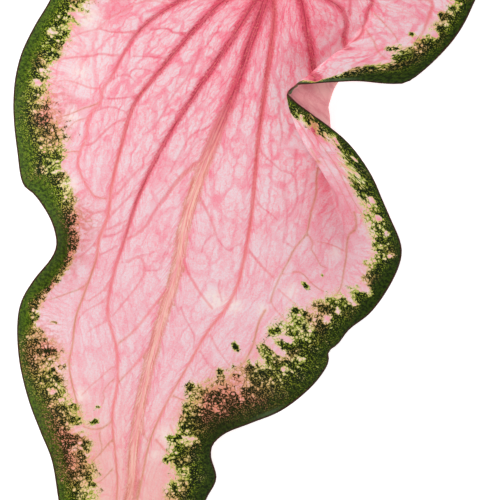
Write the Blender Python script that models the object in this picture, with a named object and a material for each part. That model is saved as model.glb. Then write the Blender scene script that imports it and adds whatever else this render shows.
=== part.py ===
# Caladium leaf: one picked blade with its cut stalk, lying with the upper side up
import math

import bmesh
import bpy
import numpy as np
from mathutils import geometry

MM = 0.001

# Driving dimensions in millimetres. Plan places are measured from the junction,
# where the stalk meets the blade: -Y runs along the midrib to the tip, Z is up.
BLADE_THICKNESS = 0.8
MARGIN_SPACING = 3.4
NOTCH_SPACING = 1.2
GRID_SPACING = 5.2
RIB_SPACING = 4.2
FINE_STEP = 0.4
CURVE_STEPS = 24
LINK_REACH = 1.6
MARGIN_CLEAR = 1.5
VEIN_CLEAR = 1.2
SHORTEST_FOLD = 5
JUNCTION = (3.1, 41.6)
GAP = 0.3

# Outline seen from above, from the tip up the right side to the sinus
RIGHT_MARGIN = [
    (0, -247), (6, -239.5), (13, -229), (19.5, -216), (24.5, -203), (26.5, -190.5), (28, -182.5),
    (24, -175), (23.5, -171), (26.5, -166), (34.5, -160), (44.5, -152.5), (53, -140.5), (56, -131),
    (55, -127.5), (57.5, -124), (60, -118), (66, -110), (70, -99.5), (71.5, -90.5), (71, -85.5),
    (69, -81.5), (64, -75.5), (59, -69.5), (54, -63.5), (47.5, -57.5), (41, -53), (34.5, -50),
    (26.5, -47), (19, -44), (16.4, -41.8), (16.5, -40.2), (18.1, -38.7), (24.5, -36), (32.5, -33),
    (39.5, -30.7), (50.5, -28.5), (56, -26.5), (61.5, -20), (68, -8.5), (71, 0), (72.5, 9),
    (74.5, 22), (74, 36), (70.5, 50), (63.5, 64), (54, 74), (44, 78), (34.5, 75), (26, 65.5),
    (18, 51), (10.5, 34), (5, 20.5), (1.2, 13.5),
]

# The left side, from the sinus down to the tip
LEFT_MARGIN = [
    (-1.2, 13.5), (-6, 20), (-12, 33), (-19, 48), (-27.5, 62), (-37, 71), (-47.5, 73.5),
    (-57, 68), (-64.5, 56), (-69, 41), (-71.5, 24), (-72, 6), (-73, -12), (-75.5, -31), (-78.7, -42),
    (-80.7, -52), (-80.6, -61.5), (-79, -70), (-76.8, -77), (-72.7, -87), (-67, -98.5), (-62, -101),
    (-54, -108), (-50, -114.5), (-49.4, -118), (-50.3, -122), (-54.2, -130.5), (-56.7, -139),
    (-56.3, -147), (-52, -160.5), (-45, -173), (-37.5, -183), (-31, -191.5), (-25, -204.5),
    (-19, -218), (-12.5, -230), (-6, -240),
]

# Heights of the underside over the surface, at the midrib, half way out and at the margin.
# Lobes of the margin hang to the surface, and its bays stand up from it.
HEIGHTS = [
    (0, 13, 9), (0, 0, 9), (-1, -25, 10.5), (-4, -60, 12), (-7, -95, 12.5), (-6, -135, 10.5),
    (-5, -165, 8), (-1, -195, 5), (0, -225, 1.6), (0, -246, -1),
    (-40, -60, 9.5), (-35, -110, 10.5), (-32, -150, 7), (-38, -5, 8.5), (-25, 35, 6.5),
    (25, 40, 6.5), (35, 5, 8.5), (22, -40, 10.5), (30, -62, 10.5), (36, -95, 9.5), (30, -130, 7.5),
    (19.5, -216, 2.5), (28, -183, 3), (23.5, -172, 8), (34, -160, 4.5), (45, -152, -1.2),
    (54, -138, 1), (55, -127.5, 3.8), (60, -118, 2), (69, -103, -1.2), (71, -88, 0.5), (56, -65, 4),
    (44, -54, 6), (42, -32, 5), (56, -26, 2.5), (68, -8.5, -1.2), (72.5, 9, 1), (74.5, 25, 5),
    (70.5, 50, 3.5), (54, 74, -0.4), (44, 78, -1.2), (26, 65, 2.5), (10.5, 34, 7),
    (-12, 33, 7), (-27, 61, 3), (-47, 73, -1.2), (-64, 56, 2.5), (-71, 24, 6), (-72, 0, 6.5),
    (-75.5, -31, 3.5), (-80.5, -56, -1.2), (-78, -72, 0.6), (-71, -90, 4), (-62, -101, 7.5),
    (-54, -108, 10), (-49.5, -116, 11.5), (-53.5, -128, 8), (-56.3, -145, 1), (-52, -160, -1.2),
    (-45, -173, 1.5), (-37.5, -183, 4.5), (-31, -191, 5), (-25, -204.5, 3.5), (-12.5, -230, 1),
]
REST_BLEND = 0.8

# The fold in the right side: how far the sheet turns over and how long it runs back, row by row
FOLD_RADIUS = 1.8
FOLD_ROWS = [
    # along the leaf, middle of the fold, length run back, degrees turned
    (3, 41, 0, 0), (-6, 38.5, 0.8, 22), (-13, 36, 2, 62), (-19.5, 33, 3.5, 108), (-26, 30.7, 5.4, 150),
    (-33.5, 27.3, 7.6, 168), (-38.5, 25.1, 10.2, 172), (-42, 24, 12, 173), (-45, 25.1, 12.2, 173),
    (-50, 27.6, 11, 172), (-57.5, 31.8, 8.6, 165), (-66.5, 41, 6, 150), (-74, 50, 4.6, 122),
    (-81, 57.5, 3.2, 92), (-88, 62.5, 2, 56), (-95, 66, 1, 26), (-103, 69, 0.3, 7), (-109, 70.5, 0, 0),
]
FOLD_STEP = 3.2
NOTCH = (26, -43)
NOTCH_REACH = 17
FOLD_FAR_SHARE = 0.3
FOLD_SETTLE = 25

# Main veins: depth of the rib below the blade, half its width, and its course
VEINS = [
    (2.0, 1.6, [(0, 10), (0, 0), (-0.5, -19), (-2.5, -44.5), (-4.5, -61.5), (-6.5, -81.5), (-7, -97.5),
                (-5.5, -115), (-6, -135), (-5.5, -160), (-3, -182.5), (-0.5, -194), (0, -220), (0, -242)]),
    (1.0, 1.2, [(0, -1), (-14, -9), (-29, -19), (-41, -33.5), (-45.5, -47.5), (-48.5, -62.5),
                (-51, -73), (-50.5, -81.5)]),
    (1.1, 1.2, [(0, -3), (-7, -8), (-14.5, -15), (-27, -38.5), (-36, -60), (-36.5, -83.5), (-35, -110),
                (-36, -140), (-34, -156.5), (-23, -176)]),
    (1.1, 1.2, [(-0.3, -7), (-5, -15.5), (-12, -38.5), (-20.5, -65.5), (-26, -90.5), (-27, -121),
                (-22, -140.5), (-15.5, -157.5), (-14, -170.5), (-7.5, -190), (-4, -206)]),
    (1.1, 1.2, [(0, -5), (4, -16), (7.5, -39), (10.5, -61.5), (15, -86.5), (17, -112), (11, -132),
                (5.5, -156.5), (1.5, -176), (2.5, -193), (3.5, -208)]),
    (0.9, 1.0, [(0.5, 0), (11.5, -8), (18.5, -22), (23, -31), (26, -42), (29, -53), (33.5, -64),
                (36, -84.5), (36.5, -94.5), (42, -112)]),
    (0.8, 1.0, [(-20, -13), (-43, -23.5), (-55.5, -36), (-66.5, -43.5), (-70, -53)]),
    (0.8, 1.0, [(0.5, 1), (20, 5), (36, 1), (57, -2), (66, 1)]),
    (1.0, 1.2, [(0.5, 1), (10, 14), (20, 30), (31, 48), (41, 67)]),
    (0.8, 1.0, [(6, 8), (24, 22), (42, 36), (60, 47)]),
    (0.8, 1.0, [(3, 4), (24, 13), (48, 20), (68, 24)]),
    (1.0, 1.2, [(-0.5, 1), (-9, 14), (-19, 30), (-31, 47), (-43, 63)]),
    (0.8, 1.0, [(-5, 8), (-23, 21), (-41, 34), (-58, 43)]),
    (0.8, 1.0, [(-3, 4), (-22, 11), (-44, 15), (-65, 18)]),
    (0.8, 1.0, [(-1, 0), (-22, -3), (-44, -8), (-68, -22)]),
    (0.6, 0.9, [(16, -93), (28, -106), (30.5, -114), (28, -129), (27, -140)]),
    (0.6, 0.9, [(-9, -75), (-18, -93.5), (-26, -108)]),
    (0.6, 0.9, [(-7, -121.5), (-15, -139.5), (-20, -146)]),
]
WALLED_RIB = 1.05
RIB_WALL = 0.9
RIB_TAPER = 30
RIB_END_SHARE = 0.25
RIB_CLEAR_OF_FOLD = 4
HUB_RADIUS = 4.2
HUB_HEIGHT = 7.2

# The stalk: it lies along the surface and turns up under the hub
STALK_TOP_RADIUS = 2.7
STALK_CUT_RADIUS = 3.5
STALK_FLAT = 0.15
STALK_SIDES = 16
STALK_BEND = 8
BEND_POINTS = 7
STALK_RUN = [(0, 6), (0.4, 30), (-1.5, 70), (-5, 110), (-6.5, 145), (-5, 163.5)]
STALK_SPACING = 7

# Colours as the eye sees them
PINK = (0.89, 0.48, 0.50, 1)
STALK_GREEN = (0.28, 0.20, 0.09, 1)
SHARP_EDGE = math.radians(50)


def curve(points, spacing, closed=False):
    """A smooth curve through the points, cut into steps of about the spacing."""
    knots = np.array(points, float)
    count = len(knots)
    spans = count if closed else count - 1
    dense = []
    for i in range(spans):
        before = knots[(i - 1) % count] if closed or i else 2 * knots[0] - knots[1]
        start, end = knots[i], knots[(i + 1) % count]
        after = knots[(i + 2) % count] if closed or i + 2 < count else 2 * end - start
        # Centripetal spacing keeps the curve from looping at close points
        t1 = math.sqrt(math.dist(before, start)) + 1e-9
        t2 = t1 + math.sqrt(math.dist(start, end)) + 1e-9
        t3 = t2 + math.sqrt(math.dist(end, after)) + 1e-9
        t = np.linspace(t1, t2, CURVE_STEPS, endpoint=False)[:, None]
        a1 = (t1 - t) / t1 * before + t / t1 * start
        a2 = (t2 - t) / (t2 - t1) * start + (t - t1) / (t2 - t1) * end
        a3 = (t3 - t) / (t3 - t2) * end + (t - t2) / (t3 - t2) * after
        b1 = (t2 - t) / t2 * a1 + t / t2 * a2
        b2 = (t3 - t) / (t3 - t1) * a2 + (t - t1) / (t3 - t1) * a3
        dense.append((t2 - t) / (t2 - t1) * b1 + (t - t1) / (t2 - t1) * b2)
    dense = np.vstack(dense + [knots[:1] if closed else knots[-1:]])
    return resample(dense, spacing, closed)


def resample(line, spacing, closed=False):
    """The same line in even steps; a closed one leaves out its repeated last point."""
    pieces = np.linalg.norm(np.diff(line, axis=0), axis=1)
    if not np.isscalar(spacing):
        pieces = pieces / spacing[:-1]
        spacing = 1
    length = np.concatenate([[0], np.cumsum(pieces)])
    steps = max(2, round(length[-1] / spacing))
    at = np.linspace(0, length[-1], steps + 1)
    if closed:
        at = at[:-1]
    return np.column_stack([np.interp(at, length, line[:, k]) for k in range(line.shape[1])])


def eased(y, rows, column):
    """A column of the rows at y, without overshoot between them."""
    table = np.array(sorted(rows), float)
    x, f = table[:, 0], table[:, column]
    rise = np.diff(f) / np.diff(x)
    slope = np.zeros(len(x))
    same = rise[:-1] * rise[1:] > 0
    slope[1:-1][same] = 2 * rise[:-1][same] * rise[1:][same] / (rise[:-1] + rise[1:])[same]
    y = np.clip(y, x[0], x[-1])
    i = np.clip(np.searchsorted(x, y) - 1, 0, len(x) - 2)
    h = x[i + 1] - x[i]
    t = (y - x[i]) / h
    return (
        f[i] * (1 + 2 * t) * (1 - t) ** 2
        + slope[i] * h * t * (1 - t) ** 2
        + f[i + 1] * t**2 * (3 - 2 * t)
        + slope[i + 1] * h * t**2 * (t - 1)
    )


class ThinPlate:
    """A thin sheet bent as little as it can be through the given heights."""

    def __init__(self, heights):
        data = np.array(heights, float)
        self.places = data[:, :2]
        count = len(data)
        flat = np.column_stack([np.ones(count), self.places])
        system = np.zeros((count + 3, count + 3))
        system[:count, :count] = self.bend(self.places)
        system[:count, count:] = flat
        system[count:, :count] = flat.T
        self.weights = np.linalg.solve(system, np.concatenate([data[:, 2], np.zeros(3)]))

    def bend(self, places):
        square = ((places[:, None] - self.places[None]) ** 2).sum(-1)
        return square * np.log(square + 1e-12)

    def at(self, places):
        flat = np.column_stack([np.ones(len(places)), places])
        return self.bend(places) @ self.weights[:-3] + flat @ self.weights[-3:]


BED = ThinPlate(HEIGHTS)


def fold_at(y):
    """Where the fold starts, how far it turns, how long it runs back and where it ends."""
    middle = eased(y, FOLD_ROWS, 1)
    back = eased(y, FOLD_ROWS, 2)
    turn = np.radians(eased(y, FOLD_ROWS, 3))
    span = 2 * FOLD_RADIUS * np.sin(turn) + back * np.cos(turn)
    return middle - span / 2, turn, back, middle + span / 2


def sheet(flat):
    """The blade's underside in space for places on the blade laid out flat."""
    u, y = flat[:, 0], flat[:, 1]
    start, turn, back, end = fold_at(y)
    r = FOLD_RADIUS
    arc = r * turn
    s = u - start
    first = np.clip(s, 0, arc) / r
    run = np.clip(s - arc, 0, back)
    last = np.clip(s - arc - back, 0, arc) / r
    beyond = np.clip(s - 2 * arc - back, 0, None)
    x = np.minimum(u, start) + r * np.sin(first) + run * np.cos(turn)
    x += r * (np.sin(turn) - np.sin(turn - last)) + beyond
    lift = r * (1 - np.cos(first)) + run * np.sin(turn) + r * (np.cos(turn - last) - np.cos(turn))
    settle = beyond**2 / (beyond**2 + FOLD_SETTLE**2)
    lift *= 1 - (1 - FOLD_FAR_SHARE) * settle
    bed = BED.at(np.column_stack([x, y]))
    near = (bed + REST_BLEND) ** 2 / (4 * REST_BLEND)
    bed = np.where(bed > REST_BLEND, bed, np.where(bed < -REST_BLEND, 0, near))
    return np.column_stack([x, y, bed + lift])


def facing(flat):
    """The unit vector out of the blade's upper side at each place."""
    step = 0.05
    along = sheet(flat + [step, 0]) - sheet(flat - [step, 0])
    across = sheet(flat + [0, step]) - sheet(flat - [0, step])
    normal = np.cross(along, across)
    return normal / np.linalg.norm(normal, axis=1)[:, None]


def laid_out(plan):
    """Places seen on the upper side from above, taken to the blade laid out flat."""
    x, y = plan[:, 0], plan[:, 1]
    start, turn, back, end = fold_at(y)
    r = FOLD_RADIUS
    crease = end - r
    past_crease = np.clip(x - crease, 0, r)
    angle = np.arcsin(1 - past_crease / r)
    on_arc = start + r * turn + back + r * (turn - np.minimum(angle, turn))
    over = start + 2 * r * turn + back + (x - end)
    folded = np.where(x < end, on_arc, over)
    return np.column_stack([np.where(turn > math.pi / 2, folded, over), y])


def margin_line():
    """The outline of the blade laid out flat, from the tip and counter-clockwise."""
    right = curve(RIGHT_MARGIN, FINE_STEP)
    left = curve(LEFT_MARGIN + RIGHT_MARGIN[:1], FINE_STEP)
    in_fold = (right[:, 1] < FOLD_ROWS[0][0]) & (right[:, 1] > FOLD_ROWS[-1][0])
    from_notch = np.linalg.norm(np.vstack([right, left]) - NOTCH, axis=1)
    right[in_fold] = laid_out(right[in_fold])
    spacing = np.where(from_notch < NOTCH_REACH, NOTCH_SPACING, MARGIN_SPACING)
    return resample(np.vstack([right, left]), spacing, closed=True)


def distance(places, line):
    """The distance from each place to the nearest point of the line."""
    nearest = np.full(len(places), np.inf)
    for start, end in zip(line[:-1], line[1:]):
        run = end - start
        t = np.clip(((places - start) @ run) / max(run @ run, 1e-12), 0, 1)
        nearest = np.minimum(nearest, np.linalg.norm(places - start - t[:, None] * run, axis=1))
    return nearest


def inside(places, outline):
    """True for the places within the closed outline."""
    x, y = places[:, 0], places[:, 1]
    found = np.zeros(len(places), bool)
    for (x1, y1), (x2, y2) in zip(outline, np.roll(outline, -1, axis=0)):
        if y1 == y2:
            continue
        crosses = (y1 > y) != (y2 > y)
        found ^= crosses & (x < (x2 - x1) * (y - y1) / (y2 - y1) + x1)
    return found


def fold_lines(outline):
    """Lines along the fold, close together where the sheet turns over."""
    first, last = FOLD_ROWS[0][0], FOLD_ROWS[-1][0]
    edges = NOTCH[1] + NOTCH_REACH / 2, NOTCH[1] - NOTCH_REACH / 2
    rows = np.concatenate([
        np.arange(first - FOLD_STEP / 2, edges[0], -FOLD_STEP),
        np.arange(edges[0], edges[1], -NOTCH_SPACING),
        np.arange(edges[1], last, -FOLD_STEP),
    ])
    start, turn, back, _ = fold_at(rows)
    arc = FOLD_RADIUS * turn
    shares = [(a, 0) for a in (0, 0.25, 0.5, 0.75, 1)]
    shares += [(1, 0.5)] + [(1 + a, 1) for a in (0, 0.25, 0.5, 0.75, 1)]
    closed = np.vstack([outline, outline[:1]])
    lines = []
    for around, along in shares:
        line = np.column_stack([start + around * arc + along * back, rows])
        clear = inside(line, outline) & (distance(line, closed) > FINE_STEP)
        lines.append((line, clear & (2 * arc + back > SHORTEST_FOLD)))
    return lines


def linked(line, first):
    """Edges between the line's neighbouring points, numbered from the first."""
    return [(first + i, first + i + 1) for i in range(len(line) - 1)
            if math.dist(line[i], line[i + 1]) < LINK_REACH * RIB_SPACING]


def blade_net(outline):
    """Points and triangles of the blade laid out flat, with the ribs and the fold as edges."""
    closed = np.vstack([outline, outline[:1]])
    points = [outline]
    edges = [(i, (i + 1) % len(outline)) for i in range(len(outline))]
    guides = [closed]
    count = len(outline)
    for _, _, course in VEINS:
        line = curve(course, RIB_SPACING)
        line = line[inside(line, outline) & (distance(line, closed) > MARGIN_CLEAR)]
        for guide in guides[1:]:
            # A side vein starts clear of the vein that it leaves
            line = line[distance(line, guide) > VEIN_CLEAR]
        points.append(line)
        edges += linked(line, count)
        guides.append(line)
        count += len(line)
    ribs = guides[1:]
    for deep, half, course in VEINS:
        if deep < WALLED_RIB:
            continue
        line = curve(course, RIB_SPACING)
        ahead = np.gradient(line, axis=0)
        aside = np.column_stack([-ahead[:, 1], ahead[:, 0]]) / np.linalg.norm(ahead, axis=1)[:, None]
        for side in (1, -1):
            wall = line + aside * side * (half + RIB_WALL)
            wall = wall[inside(wall, outline) & (distance(wall, closed) > MARGIN_CLEAR)]
            for rib in ribs:
                wall = wall[distance(wall, rib) > 0.95 * (half + RIB_WALL)]
            points.append(wall)
            edges += linked(wall, count)
            guides.append(wall)
            count += len(wall)
    for line, clear in fold_lines(outline):
        index = np.full(len(line), -1)
        index[clear] = count + np.arange(clear.sum())
        points.append(line[clear])
        edges += [(a, b) for a, b in zip(index[:-1], index[1:]) if a >= 0 and b >= 0]
        count += int(clear.sum())
    low, high = outline.min(axis=0), outline.max(axis=0)
    row_step = GRID_SPACING * math.sqrt(3) / 2
    grid = []
    for j, y in enumerate(np.arange(low[1], high[1], row_step)):
        for x in np.arange(low[0], high[0], GRID_SPACING):
            grid.append((x + GRID_SPACING / 2 * (j % 2), y))
    grid = np.array(grid)
    grid = grid[inside(grid, outline)]
    start, turn, back, _ = fold_at(grid[:, 1])
    s = grid[:, 0] - start
    length = 2 * FOLD_RADIUS * turn + back
    beside = GRID_SPACING / 3
    grid = grid[(length < SHORTEST_FOLD) | (s < -beside) | (s > length + beside)]
    for guide in guides:
        grid = grid[distance(grid, guide) > GRID_SPACING / 2]
    points.append(grid)
    made = geometry.delaunay_2d_cdt([tuple(p) for p in np.vstack(points)], edges, [], 1, 1e-4)
    return np.array([tuple(p) for p in made[0]]), [tuple(face) for face in made[2]]


def rib_depth(flat):
    """How far the underside stands down along the main veins."""
    depth = np.zeros(len(flat))
    for deep, half, course in VEINS:
        line = curve(course, RIB_SPACING)
        away = distance(flat, line)
        to_end = np.linalg.norm(flat - line[-1], axis=1)
        taper = RIB_END_SHARE + (1 - RIB_END_SHARE) * np.clip(to_end / RIB_TAPER, 0, 1)
        slope = np.clip((half + RIB_WALL - away) / half, 0, 1)
        depth = np.maximum(depth, deep * taper * slope)
    start, turn, _, _ = fold_at(flat[:, 1])
    depth[(flat[:, 0] > start - RIB_CLEAR_OF_FOLD) & (turn > 0)] = 0
    return depth


def shell(name, top, bottom, faces, colour, roughness):
    """One closed sheet from two like nets, joined along their free edges."""
    mesh = bpy.data.meshes.new(name)
    sheet_mesh = bmesh.new()
    upper = [sheet_mesh.verts.new(p * MM) for p in top]
    lower = [sheet_mesh.verts.new(p * MM) for p in bottom]
    uses = {}
    for a, b, c in faces:
        sheet_mesh.faces.new((upper[a], upper[b], upper[c]))
        sheet_mesh.faces.new((lower[c], lower[b], lower[a]))
        for start, end in ((a, b), (b, c), (c, a)):
            uses[start, end] = (end, start) not in uses
            if (end, start) in uses:
                uses[end, start] = False
    for (start, end), free in uses.items():
        if free:
            sheet_mesh.faces.new((upper[end], upper[start], lower[start]))
            sheet_mesh.faces.new((upper[end], lower[start], lower[end]))
    sheet_mesh.to_mesh(mesh)
    sheet_mesh.free()
    return dressed(name, mesh, colour, roughness)


def dressed(name, mesh, colour, roughness):
    """The object of a mesh, shaded smooth, with its plain finish."""
    made = bpy.data.objects.new(name, mesh)
    bpy.context.collection.objects.link(made)
    finish = bpy.data.materials.new(name)
    finish.use_nodes = True
    surface = finish.node_tree.nodes["Principled BSDF"]
    surface.inputs["Base Color"].default_value = colour
    surface.inputs["Roughness"].default_value = roughness
    surface.inputs["Metallic"].default_value = 0
    mesh.materials.append(finish)
    mesh.shade_smooth()
    mesh.set_sharp_from_angle(angle=SHARP_EDGE)
    return made


def leaf_blade():
    outline = margin_line()
    flat, faces = blade_net(outline)
    under = sheet(flat)
    normal = facing(flat)
    top = under + normal * BLADE_THICKNESS
    bottom = under - normal * rib_depth(flat)[:, None]
    from_hub = np.linalg.norm(flat, axis=1)
    bottom[from_hub < HUB_RADIUS, 2] = HUB_HEIGHT
    bottom[:, 2] = np.maximum(bottom[:, 2], 0)
    shift = np.array([*JUNCTION, 0])
    return shell("leaf_blade", top + shift, bottom + shift, faces, PINK, 0.45)


def stalk_spine():
    """The middle of the stalk from under the hub, round its bend and along the surface."""
    low = STALK_TOP_RADIUS - STALK_FLAT
    rise = HUB_HEIGHT - GAP - low
    swing = math.acos(1 - rise / STALK_BEND)
    angles = np.linspace(swing, 0, BEND_POINTS)
    behind = STALK_RUN[0][1] - STALK_BEND * np.sin(angles)
    above = low + STALK_BEND * (1 - np.cos(angles))
    bend = np.column_stack([np.zeros(len(angles)), behind, above])
    along = curve(STALK_RUN, STALK_SPACING)[1:]
    length = np.linspace(0, 1, len(along))
    level = STALK_TOP_RADIUS + (STALK_CUT_RADIUS - STALK_TOP_RADIUS) * length - STALK_FLAT
    return np.vstack([bend, np.column_stack([along, level])])


def petiole():
    spine = stalk_spine()
    shift = np.array([*JUNCTION, 0])
    tangent = np.gradient(spine, axis=0)
    tangent /= np.linalg.norm(tangent, axis=1)[:, None]
    tube = bmesh.new()
    rings = []
    for place, (centre, ahead) in enumerate(zip(spine, tangent)):
        share = place / (len(spine) - 1)
        radius = STALK_TOP_RADIUS + (STALK_CUT_RADIUS - STALK_TOP_RADIUS) * share
        side = np.cross(ahead, (0, 0, 1))
        side /= np.linalg.norm(side)
        up = np.cross(side, ahead)
        ring = []
        for k in range(STALK_SIDES):
            angle = 2 * math.pi * (k + 0.5) / STALK_SIDES
            point = centre + radius * (math.cos(angle) * side + math.sin(angle) * up)
            point[2] = min(max(point[2], 0), HUB_HEIGHT - GAP)
            ring.append(tube.verts.new((point + shift) * MM))
        rings.append(ring)
    for ring, after in zip(rings[:-1], rings[1:]):
        for k in range(STALK_SIDES):
            m = (k + 1) % STALK_SIDES
            tube.faces.new((ring[k], ring[m], after[m], after[k]))
    tube.faces.new(list(reversed(rings[0])))
    tube.faces.new(rings[-1])
    bmesh.ops.triangulate(tube, faces=tube.faces[:])
    bmesh.ops.recalc_face_normals(tube, faces=tube.faces[:])
    mesh = bpy.data.meshes.new("petiole")
    tube.to_mesh(mesh)
    tube.free()
    return dressed("petiole", mesh, STALK_GREEN, 0.5)


def main():
    for old in list(bpy.data.objects):
        bpy.data.objects.remove(old, do_unlink=True)
    leaf_blade()
    petiole()


main()
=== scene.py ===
# Looks of a picked caladium leaf: a pink blade with a speckled green margin, and its cut stalk
import math

import bpy
import numpy as np
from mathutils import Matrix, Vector, geometry, noise


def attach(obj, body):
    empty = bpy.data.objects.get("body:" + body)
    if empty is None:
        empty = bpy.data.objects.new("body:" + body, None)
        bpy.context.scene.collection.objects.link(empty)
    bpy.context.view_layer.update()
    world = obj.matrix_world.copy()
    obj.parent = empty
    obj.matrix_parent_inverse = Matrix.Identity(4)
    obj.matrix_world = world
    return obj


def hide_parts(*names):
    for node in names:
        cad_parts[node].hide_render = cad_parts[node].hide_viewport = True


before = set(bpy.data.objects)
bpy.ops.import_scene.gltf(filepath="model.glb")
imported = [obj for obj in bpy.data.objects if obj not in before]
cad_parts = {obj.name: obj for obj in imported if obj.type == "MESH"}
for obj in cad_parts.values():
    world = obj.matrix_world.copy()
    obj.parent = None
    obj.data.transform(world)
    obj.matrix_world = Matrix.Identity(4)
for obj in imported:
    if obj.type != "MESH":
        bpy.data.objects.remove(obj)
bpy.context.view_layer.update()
mm = 0.001
print("frame loaded:", ", ".join(sorted(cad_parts)))

# Places on the leaf are in millimetres from the junction of stalk and blade, with the tip at -Y
junction = (3.1, 41.6)

blade = {
    "thickness": 0.55,
    "rimReach": 0.16,            # how far the rounded rim stands out
    "marginStep": 1.9,           # steps of the net, before each triangle is cut into four
    "notchStep": 0.9,
    "gridStep": 2.35,
    "veinStep": 2.2,
    "veinClear": 0.8,            # veins keep this far from the margin and from each other
    "foldStep": 1.9,
    "veinTaper": 1.9,            # above 1 the long veins narrow early
    "veinSink": 0.22,            # main veins lie this deep in the upper side
    "sinkReach": 1.2,
    "pucker": 0.34,              # the blade swells by this much between its veins
    "puckerSize": 9.0,
    "puckerClear": 6,            # a vein holds the blade down this far to its sides
    "hubRadius": 4.2,
    "hubBlend": 3,
    "hubHeight": 7.2,
    "veinReach": 8,              # beyond this, a vein doesn't colour the blade
    "islandFill": 0.22,          # low, so that green islands break up into specks
    "islandClear": 0.8,
}

rightMargin = [
    (0, -247), (6, -239.5), (13, -229), (19.5, -216), (24.5, -203), (26.5, -190.5), (28, -182.5),
    (24, -175), (23.5, -171), (26.5, -166), (34.5, -160), (44.5, -152.5), (53, -140.5),
    (56, -131), (55, -127.5), (57.5, -124), (60, -118), (66, -110), (70, -99.5), (71.5, -90.5),
    (71, -85.5), (69, -81.5), (64, -75.5), (59, -69.5), (54, -63.5), (47.5, -57.5), (41, -53),
    (34.5, -50), (26.5, -47), (19, -44), (16.4, -41.8), (16.5, -40.2), (18.1, -38.7), (24.5, -36),
    (32.5, -33), (39.5, -30.7), (50.5, -28.5), (56, -26.5), (61.5, -20), (68, -8.5), (71, 0),
    (72.5, 9), (74.5, 22), (74, 36), (70.5, 50), (63.5, 64), (54, 74), (44, 78), (34.5, 75),
    (26, 65.5), (18, 51), (10.5, 34), (5, 20.5), (1.2, 13.5),
]
leftMargin = [
    (-1.2, 13.5), (-6, 20), (-12, 33), (-19, 48), (-27.5, 62), (-37, 71), (-47.5, 73.5),
    (-57, 68), (-64.5, 56), (-69, 41), (-71.5, 24), (-72, 6), (-73, -12), (-75.5, -31),
    (-78.7, -42), (-80.7, -52), (-80.6, -61.5), (-79, -70), (-76.8, -77), (-72.7, -87),
    (-67, -98.5), (-62, -101), (-54, -108), (-50, -114.5), (-49.4, -118), (-50.3, -122),
    (-54.2, -130.5), (-56.7, -139), (-56.3, -147), (-52, -160.5), (-45, -173), (-37.5, -183),
    (-31, -191.5), (-25, -204.5), (-19, -218), (-12.5, -230), (-6, -240),
]

# Heights of the underside over the surface that the leaf lies on
heights = [
    (0, 13, 9), (0, 0, 9), (-1, -25, 10.5), (-4, -60, 12), (-7, -95, 12.5), (-6, -135, 10.5),
    (-5, -165, 8), (-1, -195, 5), (0, -225, 1.6), (0, -246, -1), (-40, -60, 9.5),
    (-35, -110, 10.5), (-32, -150, 7), (-38, -5, 8.5), (-25, 35, 6.5), (25, 40, 6.5),
    (35, 5, 8.5), (22, -40, 10.5), (30, -62, 10.5), (36, -95, 9.5), (30, -130, 7.5),
    (19.5, -216, 2.5), (28, -183, 3), (23.5, -172, 8), (34, -160, 4.5), (45, -152, -1.2),
    (54, -138, 1), (55, -127.5, 3.8), (60, -118, 2), (69, -103, -1.2), (71, -88, 0.5),
    (56, -65, 4), (44, -54, 6), (42, -32, 5), (56, -26, 2.5), (68, -8.5, -1.2), (72.5, 9, 1),
    (74.5, 25, 5), (70.5, 50, 3.5), (54, 74, -0.4), (44, 78, -1.2), (26, 65, 2.5), (10.5, 34, 7),
    (-12, 33, 7), (-27, 61, 3), (-47, 73, -1.2), (-64, 56, 2.5), (-71, 24, 6), (-72, 0, 6.5),
    (-75.5, -31, 3.5), (-80.5, -56, -1.2), (-78, -72, 0.6), (-71, -90, 4), (-62, -101, 7.5),
    (-54, -108, 10), (-49.5, -116, 11.5), (-53.5, -128, 8), (-56.3, -145, 1), (-52, -160, -1.2),
    (-45, -173, 1.5), (-37.5, -183, 4.5), (-31, -191, 5), (-25, -204.5, 3.5), (-12.5, -230, 1),
]
restBlend = 0.8                  # the blade meets the surface softly within this height

# The fold in the right side, row by row along the leaf
fold = {
    "radius": 1.8,
    "farShare": 0.3,             # the lift that is left well beyond the fold
    "settle": 25,                # how far beyond it the lift goes down
    "notch": (26, -43),
    "notchReach": 17,            # the margin has closer points this near the notch
    "shortest": 5,               # no lines of the net follow a shorter fold
    # along the leaf, middle of the fold, length run back, degrees turned
    "rows": [
        (3, 41, 0, 0), (-6, 38.5, 0.8, 22), (-13, 36, 2, 62), (-19.5, 33, 3.5, 108),
        (-26, 30.7, 5.4, 150), (-33.5, 27.3, 7.6, 168), (-38.5, 25.1, 10.2, 172),
        (-42, 24, 12, 173), (-45, 25.1, 12.2, 173), (-50, 27.6, 11, 172), (-57.5, 31.8, 8.2, 158),
        (-66.5, 38, 5.2, 112), (-74, 44, 4.2, 66), (-81, 49, 3.2, 38), (-88, 54, 2, 20),
        (-95, 60, 1, 9), (-103, 66, 0.3, 3), (-109, 70.5, 0, 0),
    ],
}

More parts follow.
